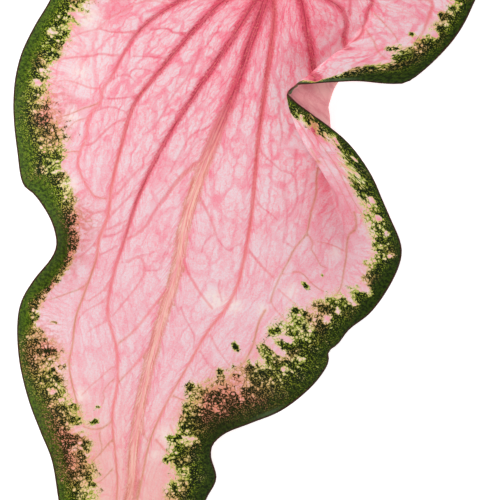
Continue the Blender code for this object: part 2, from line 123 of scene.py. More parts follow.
# Depth of the ribs under the blade, half their width, and their courses
ribs = [
    (2, 1.6, [(0, 10), (0, 0), (-0.5, -19), (-2.5, -44.5), (-4.5, -61.5), (-6.5, -81.5),
     (-7, -97.5), (-5.5, -115), (-6, -135), (-5.5, -160), (-3, -182.5), (-0.5, -194), (0, -220),
     (0, -242)]),
    (1, 1.2, [(0, -1), (-14, -9), (-29, -19), (-41, -33.5), (-45.5, -47.5), (-48.5, -62.5),
     (-51, -73), (-50.5, -81.5)]),
    (1.1, 1.2, [(0, -3), (-7, -8), (-14.5, -15), (-27, -38.5), (-36, -60), (-36.5, -83.5),
     (-35, -110), (-36, -140), (-34, -156.5), (-23, -176)]),
    (1.1, 1.2, [(-0.3, -7), (-5, -15.5), (-12, -38.5), (-20.5, -65.5), (-26, -90.5), (-27, -121),
     (-22, -140.5), (-15.5, -157.5), (-14, -170.5), (-7.5, -190), (-4, -206)]),
    (1.1, 1.2, [(0, -5), (4, -16), (7.5, -39), (10.5, -61.5), (15, -86.5), (17, -112), (11, -132),
     (5.5, -156.5), (1.5, -176), (2.5, -193), (3.5, -208)]),
    (0.9, 1, [(0.5, 0), (11.5, -8), (18.5, -22), (23, -31), (26, -42), (29, -53), (33.5, -64),
     (36, -84.5), (36.5, -94.5), (42, -112)]),
]

# Veins of the upper side: half width, boldness and hue at start and end, then the course.
# A hue of 0 is crimson, 0.5 salmon and 1 olive brown.
veins = [
    (2.5, 1.7, 1, 0.75, 0, 0.8, [(0, 10), (0, 0), (-0.5, -11.5), (-1.5, -27.5), (-2.5, -44.5),
     (-4.5, -61.5), (-6.5, -81.5), (-7, -97.5), (-5.5, -115), (-6, -135), (-5.5, -160),
     (-3, -182.5), (-0.5, -194), (0, -220), (0, -238)]),
    (1.9, 0.4, 1, 0.6, 0, 0.7, [(0, -1), (-14, -9), (-29, -19), (-41, -33.5), (-45.5, -47.5),
     (-46.5, -53), (-48.5, -57.5), (-48, -62.5), (-50.5, -69), (-49.5, -77), (-50.5, -81.5),
     (-50, -86), (-47.5, -90), (-43.5, -94), (-40.5, -96), (-37, -95.5)]),
    (1.9, 0.35, 1, 0.75, 0, 1.5, [(0, -3), (-7, -8), (-14.5, -15), (-23, -30), (-30.5, -46.5),
     (-36, -60), (-36.5, -77.5), (-36, -91), (-34.5, -102), (-35.5, -110), (-34.5, -117),
     (-35.5, -132), (-36, -140), (-34.5, -150), (-34, -156.5), (-26.5, -171), (-23, -176)]),
    (2, 0.35, 1, 0.75, 0, 0.9, [(-0.3, -7), (-3.5, -12), (-8.5, -28.5), (-15, -48),
     (-20.5, -65.5), (-24.5, -83.5), (-26, -95), (-26.5, -108), (-27, -121), (-25.5, -134.5),
     (-19, -146.5), (-15.5, -157.5), (-14, -170.5), (-9.5, -183), (-5.5, -195), (-3, -210)]),
    (1.5, 0.4, 1, 0.7, 0.2, 1.1, [(0, -5), (4, -16), (7.5, -39), (10.5, -61.5), (15, -86.5),
     (16.5, -100.5), (17, -112), (15.5, -121), (11, -132), (7.5, -145.5), (3.5, -161.5),
     (1.5, -176), (2.5, -193), (3, -208)]),
    (1.9, 1.5, 1, 0.9, 0, 0, [(0.5, 0), (11.5, -8), (16.5, -17.5), (21, -26.5), (23, -31),
     (26, -42), (29, -53)]),
    (1.3, 1, 0.9, 0.7, 0, 0.1, [(8, -3), (20, -5), (26.5, -7), (30, -12), (30.5, -17.5),
     (33, -21)]),
    (1.1, 0.8, 0.9, 0.7, 0, 0.2, [(12, -1), (30, 1), (37, -1), (36, -5), (36.5, -10), (36, -14.5),
     (34.5, -17.5)]),
    (0.9, 0.6, 0.6, 0.6, 0.3, 0.7, [(40, 2), (57.5, 4.5), (58, -1), (57.5, -6), (56.5, -11)]),
    (0.5, 0.4, 0.8, 0.5, 0.2, 0.5, [(16.5, -99), (23.5, -104), (29, -107)]),
    (0.8, 0.5, 0.8, 0.6, 0.1, 0.3, [(-9, -75), (-12.5, -80.5), (-18, -93.5), (-20.5, -101.5),
     (-22.5, -104.5), (-26, -108)]),
    (0.4, 0.4, 0.6, 0.5, 0.2, 0.2, [(-35, -95), (-32.5, -91), (-30, -85.5), (-27, -80.5)]),
    (0.4, 0.4, 0.6, 0.5, 0.2, 0.2, [(-34, -102), (-29.5, -93.5), (-27.5, -90)]),
    (0.4, 0.4, 0.6, 0.5, 0.2, 0.3, [(-34.5, -107), (-28, -101.5)]),
    (0.5, 0.4, 0.7, 0.6, 0.2, 0.3, [(-6.5, -84), (-3.5, -87), (2.5, -94), (4.5, -97)]),
    (0.5, 0.4, 0.8, 0.6, 0.2, 0.5, [(-5, -106), (-3.5, -110.5), (4, -118.5), (10.5, -123.5)]),
    (0.5, 0.5, 0.7, 0.6, 0.3, 0.8, [(-6.5, -119), (-10.5, -129.5), (-15, -139.5),
     (-19.5, -145.5)]),
    (0.5, 0.4, 0.7, 0.6, 0.4, 0.8, [(-7, -141), (-11, -150.5), (-15, -158)]),
    # towards the lobes beside the stalk
    (1.6, 0.8, 0.9, 0.6, 0, 0.5, [(0.5, 1), (10, 14), (20, 30), (31, 48), (41, 67)]),
    (1.2, 0.6, 0.8, 0.6, 0.1, 0.6, [(6, 8), (24, 22), (42, 36), (60, 47)]),
    (1.2, 0.6, 0.8, 0.6, 0.1, 0.6, [(3, 4), (24, 13), (48, 20), (68, 24)]),
    (1.6, 0.8, 0.9, 0.6, 0, 0.5, [(-0.5, 1), (-9, 14), (-19, 30), (-31, 47), (-43, 63)]),
    (1.2, 0.6, 0.8, 0.6, 0.1, 0.6, [(-5, 8), (-23, 21), (-41, 34), (-58, 43)]),
    (1.2, 0.6, 0.8, 0.6, 0.1, 0.6, [(-3, 4), (-22, 11), (-44, 15), (-65, 18)]),
    (1.3, 0.6, 0.9, 0.6, 0.1, 0.6, [(-1, 0), (-22, -3), (-44, -8), (-68, -22)]),
]

# Small veins: half width, boldness and hue, then the course
smallVeins = [
    (0.4, 0.5, 0.3, [(-33.5, -22), (-38, -22), (-43, -23.5), (-47.5, -27.5), (-51, -30.5),
     (-53.5, -33), (-56, -37), (-59.5, -39), (-65, -43), (-66, -45.5), (-66.5, -50.5),
     (-66.5, -55.5), (-66, -58.5), (-67.5, -62), (-68, -65.5), (-67.5, -68.5)]),
    (0.4, 0.8, 0.2, [(-43, -34.5), (-45, -35.5), (-51, -37), (-56, -37)]),
    (0.45, 0.65, 0.2, [(-45, -43), (-47.5, -45), (-52.5, -45.5), (-55, -47), (-61, -49),
     (-67.5, -52), (-69.5, -53.5)]),
    (0.4, 0.6, 0.1, [(-46, -53.5), (-44, -51.5), (-41, -50.5), (-38, -52)]),
    (0.35, 0.5, 0.1, [(-41, -50.5), (-39.5, -48), (-36, -47), (-32.5, -47)]),
    (0.4, 0.6, 0.35, [(-48, -57.5), (-53, -58.5), (-57.5, -58), (-61, -58), (-64, -58.5),
     (-66, -60.5)]),
    (0.4, 0.7, 0.1, [(-47.5, -61), (-43.5, -60), (-40.5, -59), (-36.5, -57)]),
    (0.4, 0.6, 0.1, [(-50, -67), (-46, -64), (-43, -63), (-38, -63.5), (-36, -62.5)]),
    (0.4, 0.7, 0.75, [(-48, -62.5), (-50.5, -64.5), (-53, -66), (-57.5, -69.5), (-61.5, -72)]),
    (0.35, 0.5, 0.7, [(-51, -69.5), (-53.5, -70.5), (-56, -73), (-57, -76)]),
    (0.35, 0.7, 0.7, [(-50.5, -81.5), (-52, -82), (-55.5, -83.5), (-57.5, -85), (-58.5, -87)]),
    (0.45, 0.7, 0.2, [(-49.5, -79), (-46.5, -77.5), (-45, -74.5), (-41, -68.5), (-38, -66),
     (-36.5, -65)]),
    (0.45, 0.8, 0, [(-23.5, -30), (-27, -31), (-29.5, -31.5), (-32, -30.5), (-34.5, -31.5),
     (-37, -32.5)]),
    (0.4, 0.6, 0.1, [(-27.5, -39), (-30, -41), (-35, -42), (-41, -43.5)]),
    (0.5, 0.5, 0.05, [(-18, -34.5), (-18.5, -38), (-20, -45), (-23, -52.5), (-25, -60),
     (-27, -67)]),
    (0.35, 0.5, 0.05, [(-13.5, -27), (-16, -28.5), (-17, -31), (-16, -32.5), (-13, -34),
     (-11, -34)]),
    (0.35, 0.4, 0.05, [(-16, -37), (-12.5, -36.5), (-10, -36)]),
    (0.45, 0.5, 0.1, [(-6, -59), (-8, -61), (-12, -64), (-13.5, -66), (-15.5, -73.5),
     (-17, -80)]),
    (0.4, 0.45, 0.1, [(-5.5, -65), (-8.5, -65.5), (-10.5, -67), (-12.5, -72.5), (-13.5, -75.5)]),
    (0.45, 0.5, 0, [(14, -46), (16, -51.5), (18, -56), (18.5, -60.5)]),
    (0.35, 0.45, 0.05, [(-0.5, -45.5), (2, -46.5), (2, -49.5), (2.5, -53.5), (3.5, -56.5)]),
    (0.4, 0.6, 0.15, [(12, -63.5), (14.5, -66), (17, -67), (21, -69), (23.5, -69),
     (25.5, -69.5)]),
    (0.35, 0.4, 0.05, [(6.5, -12), (7, -15.5), (9, -19), (11.5, -21), (13.5, -25)]),
    (0.6, 0.8, 0.1, [(29, -3.5), (29.5, -5.5), (30.5, -7.5), (29.5, -9.5), (29, -12)]),
    (0.4, 0.6, 0.7, [(36.5, -5), (40.5, -6.5), (43.5, -8.5), (48, -11.5), (49.5, -13.5)]),
    (0.35, 0.5, 0.7, [(37.5, -12.5), (39.5, -14.5), (41.5, -16), (42, -18), (44.5, -19.5),
     (47, -20.5)]),
    (0.3, 0.4, 0.5, [(39, -1.5), (45.5, -2), (51, -2), (55, -3)]),
    (0.35, 0.35, 0.05, [(20, -6), (21, -9), (23, -12), (24.5, -15), (25, -19)]),
    (0.4, 0.6, 0.1, [(-34, -109), (-31, -107.5), (-28.5, -105.5), (-28, -103)]),
    (0.35, 0.5, 0.15, [(-36.5, -112), (-37.5, -114), (-39.5, -117), (-41.5, -119.5)]),
    (0.4, 0.6, 0.1, [(-33.5, -115.5), (-31, -113.5), (-29, -111)]),
    (0.4, 0.55, 0.2, [(-36, -100), (-38.5, -101), (-40.5, -102.5), (-42, -105), (-43.5, -105.5)]),
    (0.35, 0.5, 0.5, [(-35, -105.5), (-37.5, -106.5), (-39.5, -107), (-41.5, -104.5)]),
    (0.4, 0.6, 0.9, [(-46.5, -101.5), (-44, -102.5), (-43.5, -104), (-41.5, -105.5),
     (-39.5, -104.5), (-39.5, -102.5)]),
    (0.45, 0.6, 0.25, [(-23, -115.5), (-20.5, -112.5), (-18.5, -113), (-17, -115.5),
     (-16.5, -118.5), (-18, -123.5), (-21.5, -131.5), (-24, -137)]),
    (0.35, 0.45, 0.05, [(-17, -117), (-14, -116), (-11, -115), (-11.5, -111), (-11, -108)]),
    (0.4, 0.6, 0.3, [(-28, -124.5), (-29, -127.5), (-31, -130), (-32.5, -132), (-35, -133.5)]),
    (0.4, 0.6, 0.85, [(-35.5, -126.5), (-37, -129), (-40.5, -131.5), (-44, -134), (-47, -136)]),
    (0.35, 0.5, 0.25, [(-27, -129), (-29.5, -133), (-33, -136), (-35, -140)]),
    (0.35, 0.5, 0.35, [(-25, -136.5), (-26, -139), (-28.5, -141), (-30.5, -143.5)]),
    (0.35, 0.5, 0.6, [(-17, -152), (-19.5, -154.5), (-21.5, -158), (-24, -161.5), (-26.5, -166)]),
    (0.35, 0.5, 0.7, [(-17, -157.5), (-18.5, -160), (-19.5, -163), (-18.5, -164.5),
     (-18.5, -167)]),
    (0.45, 0.7, 0.9, [(-14, -171.5), (-15, -174.5), (-17, -176), (-19.5, -177), (-23, -177)]),
    (0.4, 0.7, 0.9, [(-11.5, -178.5), (-13, -181), (-14, -183.5), (-16.5, -188)]),
    (0.4, 0.6, 0.9, [(-17, -175.5), (-16.5, -179), (-14.5, -182.5), (-15, -186)]),
    (0.45, 0.6, 0.6, [(3.5, -174.5), (6.5, -176.5), (10, -179), (12.5, -183), (15, -186)]),
    (0.45, 0.6, 0.75, [(-5, -164), (-3, -168.5), (-1.5, -173), (0.5, -175.5)]),
    (0.35, 0.6, 0.9, [(-9, -189), (-10.5, -192), (-12, -194.5), (-14, -196)]),
    (0.4, 0.5, 0.05, [(4, -96.5), (3, -99), (1.5, -101.5), (1.5, -105)]),
    (0.35, 0.45, 0.05, [(4, -97), (6.5, -99.5), (11, -102), (12.5, -99.5), (16, -97)]),
    (0.35, 0.5, 0.15, [(15, -80.5), (17.5, -83.5), (21.5, -85), (24.5, -86.5)]),
    (0.45, 0.4, 0, [(22.5, -68.5), (23.5, -73), (26, -80), (27.5, -84), (28.5, -93.5)]),
    (0.35, 0.4, 0.05, [(-25, -116), (-22.5, -114), (-20, -112), (-18, -111.5), (-15, -109.5)]),
    (0.35, 0.4, 0.05, [(-16.5, -116.5), (-14, -116), (-11, -114.5), (-12, -113), (-10.5, -110),
     (-10.5, -102.5)]),
    (0.35, 0.4, 0.1, [(-4, -123), (-2.5, -125.5), (-0.5, -128.5)]),
    (0.35, 0.4, 0.1, [(10.5, -113), (10.5, -115.5), (12, -118), (13, -120)]),
    (0.35, 0.5, 0.15, [(-0.5, -126), (2, -129.5), (4.5, -132), (7, -135), (7.5, -138.5)]),
    (0.4, 0.5, 0.3, [(12.5, -133), (15, -136), (18.5, -139), (21.5, -141.5)]),
    (0.35, 0.4, 0.15, [(10.5, -139.5), (13, -142), (14.5, -143.5)]),
    (0.5, 0.8, 0.85, [(29, -119), (28, -123), (28, -129.5), (28, -132.5), (26.5, -139.5),
     (24, -143), (23, -146), (20, -150), (17, -152.5), (14.5, -157), (12, -158), (8.5, -158),
     (5.5, -157.5)]),
    (0.35, 0.6, 0.6, [(30, -115), (31.5, -117), (36, -120), (39, -121.5)]),
    (0.35, 0.5, 0.4, [(7, -168), (9.5, -171), (12.5, -174)]),
    (0.35, 0.4, 0.15, [(7, -145), (9, -146.5), (10.5, -148.5)]),
    (0.55, 0.75, 0.85, [(33.5, -62.5), (34, -68), (35.5, -73.5), (35.5, -79.5), (36, -87.5),
     (36, -88.5), (35, -91), (33, -95.5), (32.5, -99), (31, -105), (30.5, -108), (30, -112.5),
     (30, -115.5)]),
    (0.4, 0.6, 0.75, [(36, -88.5), (39, -91), (39, -93.5), (41.5, -95.5), (43.5, -98),
     (46, -98.5)]),
    (0.5, 0.75, 0.9, [(50.5, -76.5), (52, -79), (52.5, -82.5), (51, -85), (51, -88), (52, -92.5),
     (52.5, -97.5), (53, -105), (51, -108.5), (49.5, -112)]),
    (0.35, 0.6, 0.6, [(52, -91.5), (49, -90.5), (46.5, -90), (43.5, -90), (38.5, -90.5)]),
    (0.35, 0.6, 0.75, [(35, -103), (38, -102.5), (40.5, -104), (44, -106), (47.5, -107)]),
    (0.35, 0.5, 0.5, [(31.5, -110.5), (34.5, -112), (37.5, -113.5), (42.5, -116.5)]),
    (0.35, 0.5, 0.5, [(31, -105), (35, -103.5), (37.5, -102)]),
    (0.5, 0.5, 0.05, [(24.5, -60.5), (25.5, -66), (27.5, -72), (29.5, -77.5), (29, -82),
     (28, -85.5), (28.5, -92.5), (30.5, -94), (32.5, -94.5)]),
    (0.4, 0.45, 0.05, [(30, -65), (31, -71), (31.5, -77), (32, -81), (32, -86)]),
    (0.5, 0.4, 0, [(23.5, -74), (25, -79.5), (27.5, -83.5)]),
    (0.4, 0.5, 0.9, [(29.5, -59), (31.5, -61), (33.5, -62.5)]),
    (0.35, 0.6, 0.75, [(21, -47), (30, -54.7), (40.2, -63.2), (49.4, -72.9), (59.7, -80.6)]),
    (0.3, 0.5, 0.6, [(21.5, -50), (28.5, -56.5), (39.5, -66), (48, -75), (54, -83)]),
]

# Lanes follow the main veins: a number for each vein, and places along it
lanes = [
    (-5, [(-1, -20), (-3, -44), (-6.5, -81.5), (-6, -120), (-5.5, -160), (0, -220)]),
    (-21, [(-5, -15.5), (-12, -38.5), (-20.5, -65.5), (-26, -95), (-27, -121), (-15.5, -157.5),
     (-5.5, -195)]),
    (-36, [(-14.5, -15), (-27, -38.5), (-36, -60), (-36, -91), (-35, -117), (-36, -140),
     (-23, -176)]),
    (-50, [(-14, -9), (-29, -19), (-41, -33.5), (-48.5, -62.5), (-50, -85)]),
    (-68, [(-22, -3), (-44, -8), (-68, -22)]),
    (-84, [(-22, 11), (-44, 15), (-65, 18)]),
    (-100, [(-9, 14), (-19, 30), (-31, 47), (-43, 63)]),
    (11, [(4, -16), (7.5, -39), (10.5, -61.5), (15, -86.5), (17, -112), (7.5, -145.5),
     (2.5, -193)]),
    (32, [(11.5, -8), (18.5, -22), (23, -31), (26, -42), (29, -53), (33.5, -63), (36, -84.5),
     (33, -110), (28, -130)]),
    (48, [(50.5, -76.5), (52, -90), (52.5, -100), (49.5, -112)]),
    (56, [(22, 4), (40, 2), (57, 4)]),
    (74, [(24, 13), (48, 20), (68, 24)]),
    (96, [(10, 14), (20, 30), (31, 48), (41, 67)]),
]

# The green margin: a place on the outline, how far in it is all green, and how far its specks reach
greenBand = [
    (0, -247, 15, 30), (13, -229, 8, 18), (24.5, -203, 7, 14), (26, -178, 6.5, 14.5),
    (23.5, -171, 6, 14), (26, -165, 9, 20), (35, -160, 7, 20), (46, -151, 7, 20),
    (51, -143, 6, 22), (55, -134, 6, 24), (55, -130, 6, 21), (58, -124, 5.5, 17),
    (63, -116, 5.5, 13), (67, -109, 7, 12), (70, -100, 6.5, 10), (72, -90, 5, 10.5),
    (71, -85, 4, 10.5), (63, -74, 3.2, 10), (52, -63, 2.8, 8.5), (39, -53, 2.4, 7.5),
    (30, -48, 2.4, 6.5), (22, -45, 2.2, 5), (18, -43, 1.6, 3.6), (16.5, -41, 1.1, 1.8),
    (18.5, -38.5, 0.9, 1.2), (25, -36, 0.9, 1.3), (29, -34, 1.3, 2.6), (33, -33, 2.4, 5.5),
    (37, -31.5, 4, 8), (42, -30, 6, 10.5), (47, -29, 7, 12.5), (51, -28, 7.5, 15),
    (58, -24, 7, 14.5), (65, -14, 5, 11.5), (71, 0, 3.5, 7), (73, 12, 3.5, 9), (74.5, 25, 5, 14),
    (70, 50, 6, 16), (54, 74, 6, 16), (40, 77, 5, 14), (26, 65, 4, 10), (10.5, 34, 3, 7),
    (3, 17, 2, 4), (-3, 17, 2, 4), (-12, 33, 3, 8), (-27, 62, 5, 12), (-47, 73.5, 6, 16),
    (-64, 56, 6, 16), (-71.5, 24, 5, 14), (-73, -12, 4, 12), (-76, -36, 4.5, 13),
    (-80, -46, 6, 13), (-81, -56, 6, 11.5), (-80, -64, 5, 13), (-78, -74, 5, 14.5),
    (-76, -79, 4.5, 17), (-72, -89, 6.5, 17), (-67, -99, 6, 17.5), (-63, -101, 8, 14.5),
    (-54, -108, 5, 10), (-49, -118, 5, 7), (-53, -129, 6, 7), (-56, -139, 3.5, 7.5),
    (-56, -147, 5.5, 7), (-54, -155, 3, 13.5), (-52, -160, 3, 16.5), (-47, -170, 3.5, 14),
    (-43, -176, 6.5, 14.5), (-37, -184, 5.5, 16), (-30, -194, 4.5, 14.5), (-25, -204.5, 5, 14),
    (-12.5, -230, 8, 18),
]

# Islands: place, half length square to the margin, half width, and greenness (below 0, pink)
islands = [
    (10.5, -153, 1.6, 1.6, 2.6), (19, -144.5, 1.2, 0.9, 2.4), (22, -134.5, 2.2, 1.4, 2.6),
    (48, -112.5, 3.4, 1.5, 2.3), (42.5, -116, 1.6, 1, 2.2), (-19.5, -174, 1.8, 1, 1.8),
    (-19.5, -168.5, 1.8, 0.7, 1.8), (-43, -143.5, 2.6, 0.8, 2), (53.5, -9, 1.5, 1.2, 2),
    (48, -16, 2.4, 2, 2.4), (62, 1, 1.6, 1.6, 1.8), (34, -125.5, 2.4, 1.3, 2.2),
    (45, -122, 3.4, 2.2, 1.2), (60, -93, 2.6, 0.7, 2.6), (49.5, -68.5, 2.2, 0.6, 2),
    (8.5, -172.5, 2, 1, 1.6), (10, -180, 2.6, 1.6, 1.2), (40.2, -106.3, 2.5, 1.2, 2.4),
    (39.7, -116.2, 1.3, 1, 2.2), (45.4, -101.6, 1.6, 0.7, 2.2), (39.5, -129.5, 3.6, 1.2, 2.2),
    (33, -133, 3, 1.4, 2.2), (29, -141, 2.5, 1.2, 2), (24, -158, 3, 2.2, 1.6),
    (-65, -34.5, 3.6, 1.2, -2.4), (-72, -42.5, 2.2, 0.9, -2), (-72, -57, 0.8, 0.7, -2.6),
    (-72.5, -61, 1.2, 0.8, -2.8), (-37, -168, 1.8, 1.2, -2.2), (-23.5, -185.5, 2.2, 1.2, -1.8),
    (-25, -178.5, 2.6, 1.4, -2), (39, -127, 3.4, 1.2, -2.6), (37, -131.5, 5, 1.1, -2.4),
    (41, -138, 2, 1, -1.6), (51.5, -116, 2, 1.5, -2), (54.5, -112.5, 1.2, 0.9, -2.4),
    (57.5, -107.5, 3, 1.1, -2.2), (61.5, -102, 4, 1.6, -2.4), (55.5, -104.5, 3, 1.4, -1.6),
    (45.5, -58.5, 1.4, 0.8, -2.2), (55, -70.5, 1.8, 1, -2.4), (59.5, -76, 1.6, 1, -2.4),
    (64, -81, 1.8, 1, -2.2), (67.5, -88, 1.4, 0.8, -1.6), (26, -47.5, 0.8, 0.6, -1.6),
    (37, -53.5, 1.4, 0.5, -1.6), (62, -6.5, 1.8, 1.2, -2), (15.5, -171, 4, 0.6, -1.8),
    (27, -148, 1.3, 1, -1.8), (29, -152.5, 1.4, 0.9, -1.2),
]

# Soft patches: place, radius, and how much paler, rosier, darker with painted shade, and browner
# the blade is there
patches = [
    (10.5, -120, 4, 0.9, 0, 0, 0), (18, -120.5, 3.5, 0.8, 0, 0, 0), (-58, -54.5, 3, 0.4, 0, 0, 0),
    (-27, -166.5, 3, 0.9, 0, 0, 0), (6, -172, 3.5, 0.8, 0, 0, 0), (4.5, -180, 3, 0.6, 0, 0, 0),
    (28, -119, 2.5, 0.8, 0, 0, 0), (-50, -93.5, 3, 0.8, 0, 0, 0), (-60.5, -33.5, 4, 0.8, 0, 0, 0),
    (-56.5, -70.5, 3, 0.7, 0, 0, 0), (36, -110, 4, 0.6, 0, 0, 0), (45.5, -64, 3, 0.6, 0, 0, 0),
    (48, -92.5, 3, 0.6, 0, 0, 0), (2, -8, 20, 0, 0.9, 0, 0), (24, -14, 12, 0, 0.1, 0.2, 0),
    (-3, -45, 9, 0, 0.4, 0, 0), (41, -75, 8, 0, 0.2, 0.3, 0), (36, -68, 5, 0, 0.2, 0.3, 0),
    (48, -84, 7, 0, 0.2, 0.2, 0), (16, -27, 5, 0, 0.2, 0.4, 0), (-48, -111, 7, 0, 0, 0.3, 0.8),
    (-47, -119, 7, 0, 0.3, 0.4, 1), (-50, -130, 5, 0, 0, 0.3, 0.6),
    (24, -155, 10, 0, 0, 0.2, 0.8), (36, -150, 9, 0, 0, 0.15, 0.5),
    (20.5, -163, 7, 0, 0, 0.45, 0.5), (-64, -68, 7, 0, 0.3, 0, 0.7),
    (-62, -78, 6, 0, 0.2, 0, 0.6), (-33, -185, 9, 0, 0.1, 0, 0.7), (-23, -192, 8, 0, 0.2, 0, 0.8),
    (22, -152, 8, 0, 0.3, 0, 0.3), (46, -90, 16, 0, 0, 0.25, 0), (-62, -48, 20, 0.35, 0, 0, 0),
    (-44, -105, 6, 0, 0.2, 0.1, 0.7), (-38, -176, 8, 0, 0, 0, 0.6),
    (-48, -158, 9, 0, 0.1, 0, 0.7), (-44, -148, 7, 0, 0, 0, 0.5), (-60, -20, 12, 0, 0, 0, 0.2),
]

# Glints on the green: place and radius
glints = [(20, -38, 3.5), (26, -35.6, 4), (32, -33.5, 4), (31, -146, 4), (38, -152, 5)]


def curve(points, spacing, closed=False):
    # A smooth curve through the points, cut into steps of about the spacing
    knots = np.array(points, float)
    count = len(knots)
    dense = []
    for i in range(count if closed else count - 1):
        before = knots[(i - 1) % count] if closed or i else 2 * knots[0] - knots[1]
        start, end = knots[i], knots[(i + 1) % count]
        after = knots[(i + 2) % count] if closed or i + 2 < count else 2 * end - start
        t1 = math.sqrt(math.dist(before, start)) + 1e-9
        t2 = t1 + math.sqrt(math.dist(start, end)) + 1e-9
        t3 = t2 + math.sqrt(math.dist(end, after)) + 1e-9
        t = np.linspace(t1, t2, 24, endpoint=False)[:, None]
        a1 = (t1 - t) / t1 * before + t / t1 * start
        a2 = (t2 - t) / (t2 - t1) * start + (t - t1) / (t2 - t1) * end
        a3 = (t3 - t) / (t3 - t2) * end + (t - t2) / (t3 - t2) * after
        b1 = (t2 - t) / t2 * a1 + t / t2 * a2
        b2 = (t3 - t) / (t3 - t1) * a2 + (t - t1) / (t3 - t1) * a3
        dense.append((t2 - t) / (t2 - t1) * b1 + (t - t1) / (t2 - t1) * b2)
    dense = np.vstack(dense + [knots[:1] if closed else knots[-1:]])
    return resample(dense, spacing, closed)


def resample(line, spacing, closed=False):
    pieces = np.linalg.norm(np.diff(line, axis=0), axis=1)
    if not np.isscalar(spacing):
        pieces = pieces / spacing[:-1]
        spacing = 1
    length = np.concatenate([[0], np.cumsum(pieces)])
    at = np.linspace(0, length[-1], max(2, round(length[-1] / spacing)) + 1)
    if closed:
        at = at[:-1]
    return np.column_stack([np.interp(at, length, line[:, k]) for k in range(line.shape[1])])


def eased(y, rows, column):
    # A column of the rows at y, without overshoot between them
    table = np.array(sorted(rows), float)
    x, f = table[:, 0], table[:, column]
    rise = np.diff(f) / np.diff(x)
    slope = np.zeros(len(x))
    same = rise[:-1] * rise[1:] > 0
    slope[1:-1][same] = 2 * rise[:-1][same] * rise[1:][same] / (rise[:-1] + rise[1:])[same]
    y = np.clip(y, x[0], x[-1])
    i = np.clip(np.searchsorted(x, y) - 1, 0, len(x) - 2)
    h = x[i + 1] - x[i]
    t = (y - x[i]) / h
    start = f[i] * (1 + 2 * t) * (1 - t) ** 2 + slope[i] * h * t * (1 - t) ** 2
    return start + f[i + 1] * t**2 * (3 - 2 * t) + slope[i + 1] * h * t**2 * (t - 1)


class ThinPlate:
    # A thin sheet bent as little as it can be through the given heights

    def __init__(self, rows):
        data = np.array(rows, float)
        self.places = data[:, :2]
        count = len(data)
        flat = np.column_stack([np.ones(count), self.places])
        system = np.zeros((count + 3, count + 3))
        system[:count, :count] = self.bend(self.places)
        system[:count, count:] = flat
        system[count:, :count] = flat.T
        self.weights = np.linalg.solve(system, np.concatenate([data[:, 2], np.zeros(3)]))

    def bend(self, places):
        square = ((places[:, None] - self.places[None]) ** 2).sum(-1)
        return square * np.log(square + 1e-12)

    def at(self, places):
        flat = np.column_stack([np.ones(len(places)), places])
        return self.bend(places) @ self.weights[:-3] + flat @ self.weights[-3:]


bed = ThinPlate(heights)


def foldAt(y):
    # Where the fold starts, how far it turns, how long it runs back and where it ends
    middle = eased(y, fold["rows"], 1)
    back = eased(y, fold["rows"], 2)
    turn = np.radians(eased(y, fold["rows"], 3))
    span = 2 * fold["radius"] * np.sin(turn) + back * np.cos(turn)
    return middle - span / 2, turn, back, middle + span / 2


def sheet(flat):
    # The blade's underside in space for places on the blade laid out flat
    u, y = flat[:, 0], flat[:, 1]
    start, turn, back, _ = foldAt(y)
    r = fold["radius"]
    arc = r * turn
    s = u - start
    first = np.clip(s, 0, arc) / r
    run = np.clip(s - arc, 0, back)
    last = np.clip(s - arc - back, 0, arc) / r
    beyond = np.clip(s - 2 * arc - back, 0, None)
    x = np.minimum(u, start) + r * np.sin(first) + run * np.cos(turn)
    x += r * (np.sin(turn) - np.sin(turn - last)) + beyond
    lift = r * (1 - np.cos(first)) + run * np.sin(turn) + r * (np.cos(turn - last) - np.cos(turn))
    settle = beyond**2 / (beyond**2 + fold["settle"] ** 2)
    lift *= 1 - (1 - fold["farShare"]) * settle
    low = bed.at(np.column_stack([x, y]))
    near = (low + restBlend) ** 2 / (4 * restBlend)
    low = np.where(low > restBlend, low, np.where(low < -restBlend, 0, near))
    return np.column_stack([x, y, low + lift])


def facing(flat, step=0.05):
    along = sheet(flat + [step, 0]) - sheet(flat - [step, 0])
    across = sheet(flat + [0, step]) - sheet(flat - [0, step])
    normal = np.cross(along, across)
    return normal / np.linalg.norm(normal, axis=1)[:, None]


def laidOut(plan):
    # Places seen from above on the sheet that is turned over, taken to the blade laid out flat
    x, y = plan[:, 0], plan[:, 1]
    start, turn, back, end = foldAt(y)
    r = fold["radius"]
    pastCrease = np.clip(x - (end - r), 0, r)
    angle = np.arcsin(1 - pastCrease / r)
    onArc = start + r * turn + back + r * (turn - np.minimum(angle, turn))
    over = start + 2 * r * turn + back + (x - end)
    folded = np.where(x < end, onArc, over)
    return np.column_stack([np.where(turn > math.pi / 2, folded, over), y])


def seenFromAbove(plan):
    # Any place seen from above, taken to the blade laid out flat
    plan = np.array(plan, float)
    start, turn, _, end = foldAt(plan[:, 1])
    crease = np.where(turn > math.pi / 2, end - fold["radius"], (start + end) / 2)
    return np.where((plan[:, 0] < crease)[:, None], plan, laidOut(plan))


def marginLine():
    right = curve(rightMargin, 0.4)
    left = curve(leftMargin + rightMargin[:1], 0.4)
    rows = fold["rows"]
    inFold = (right[:, 1] < rows[0][0]) & (right[:, 1] > rows[-1][0])
    fromNotch = np.linalg.norm(np.vstack([right, left]) - fold["notch"], axis=1)
    right[inFold] = laidOut(right[inFold])
    spacing = np.where(fromNotch < fold["notchReach"], blade["notchStep"], blade["marginStep"])
    return resample(np.vstack([right, left]), spacing, closed=True)


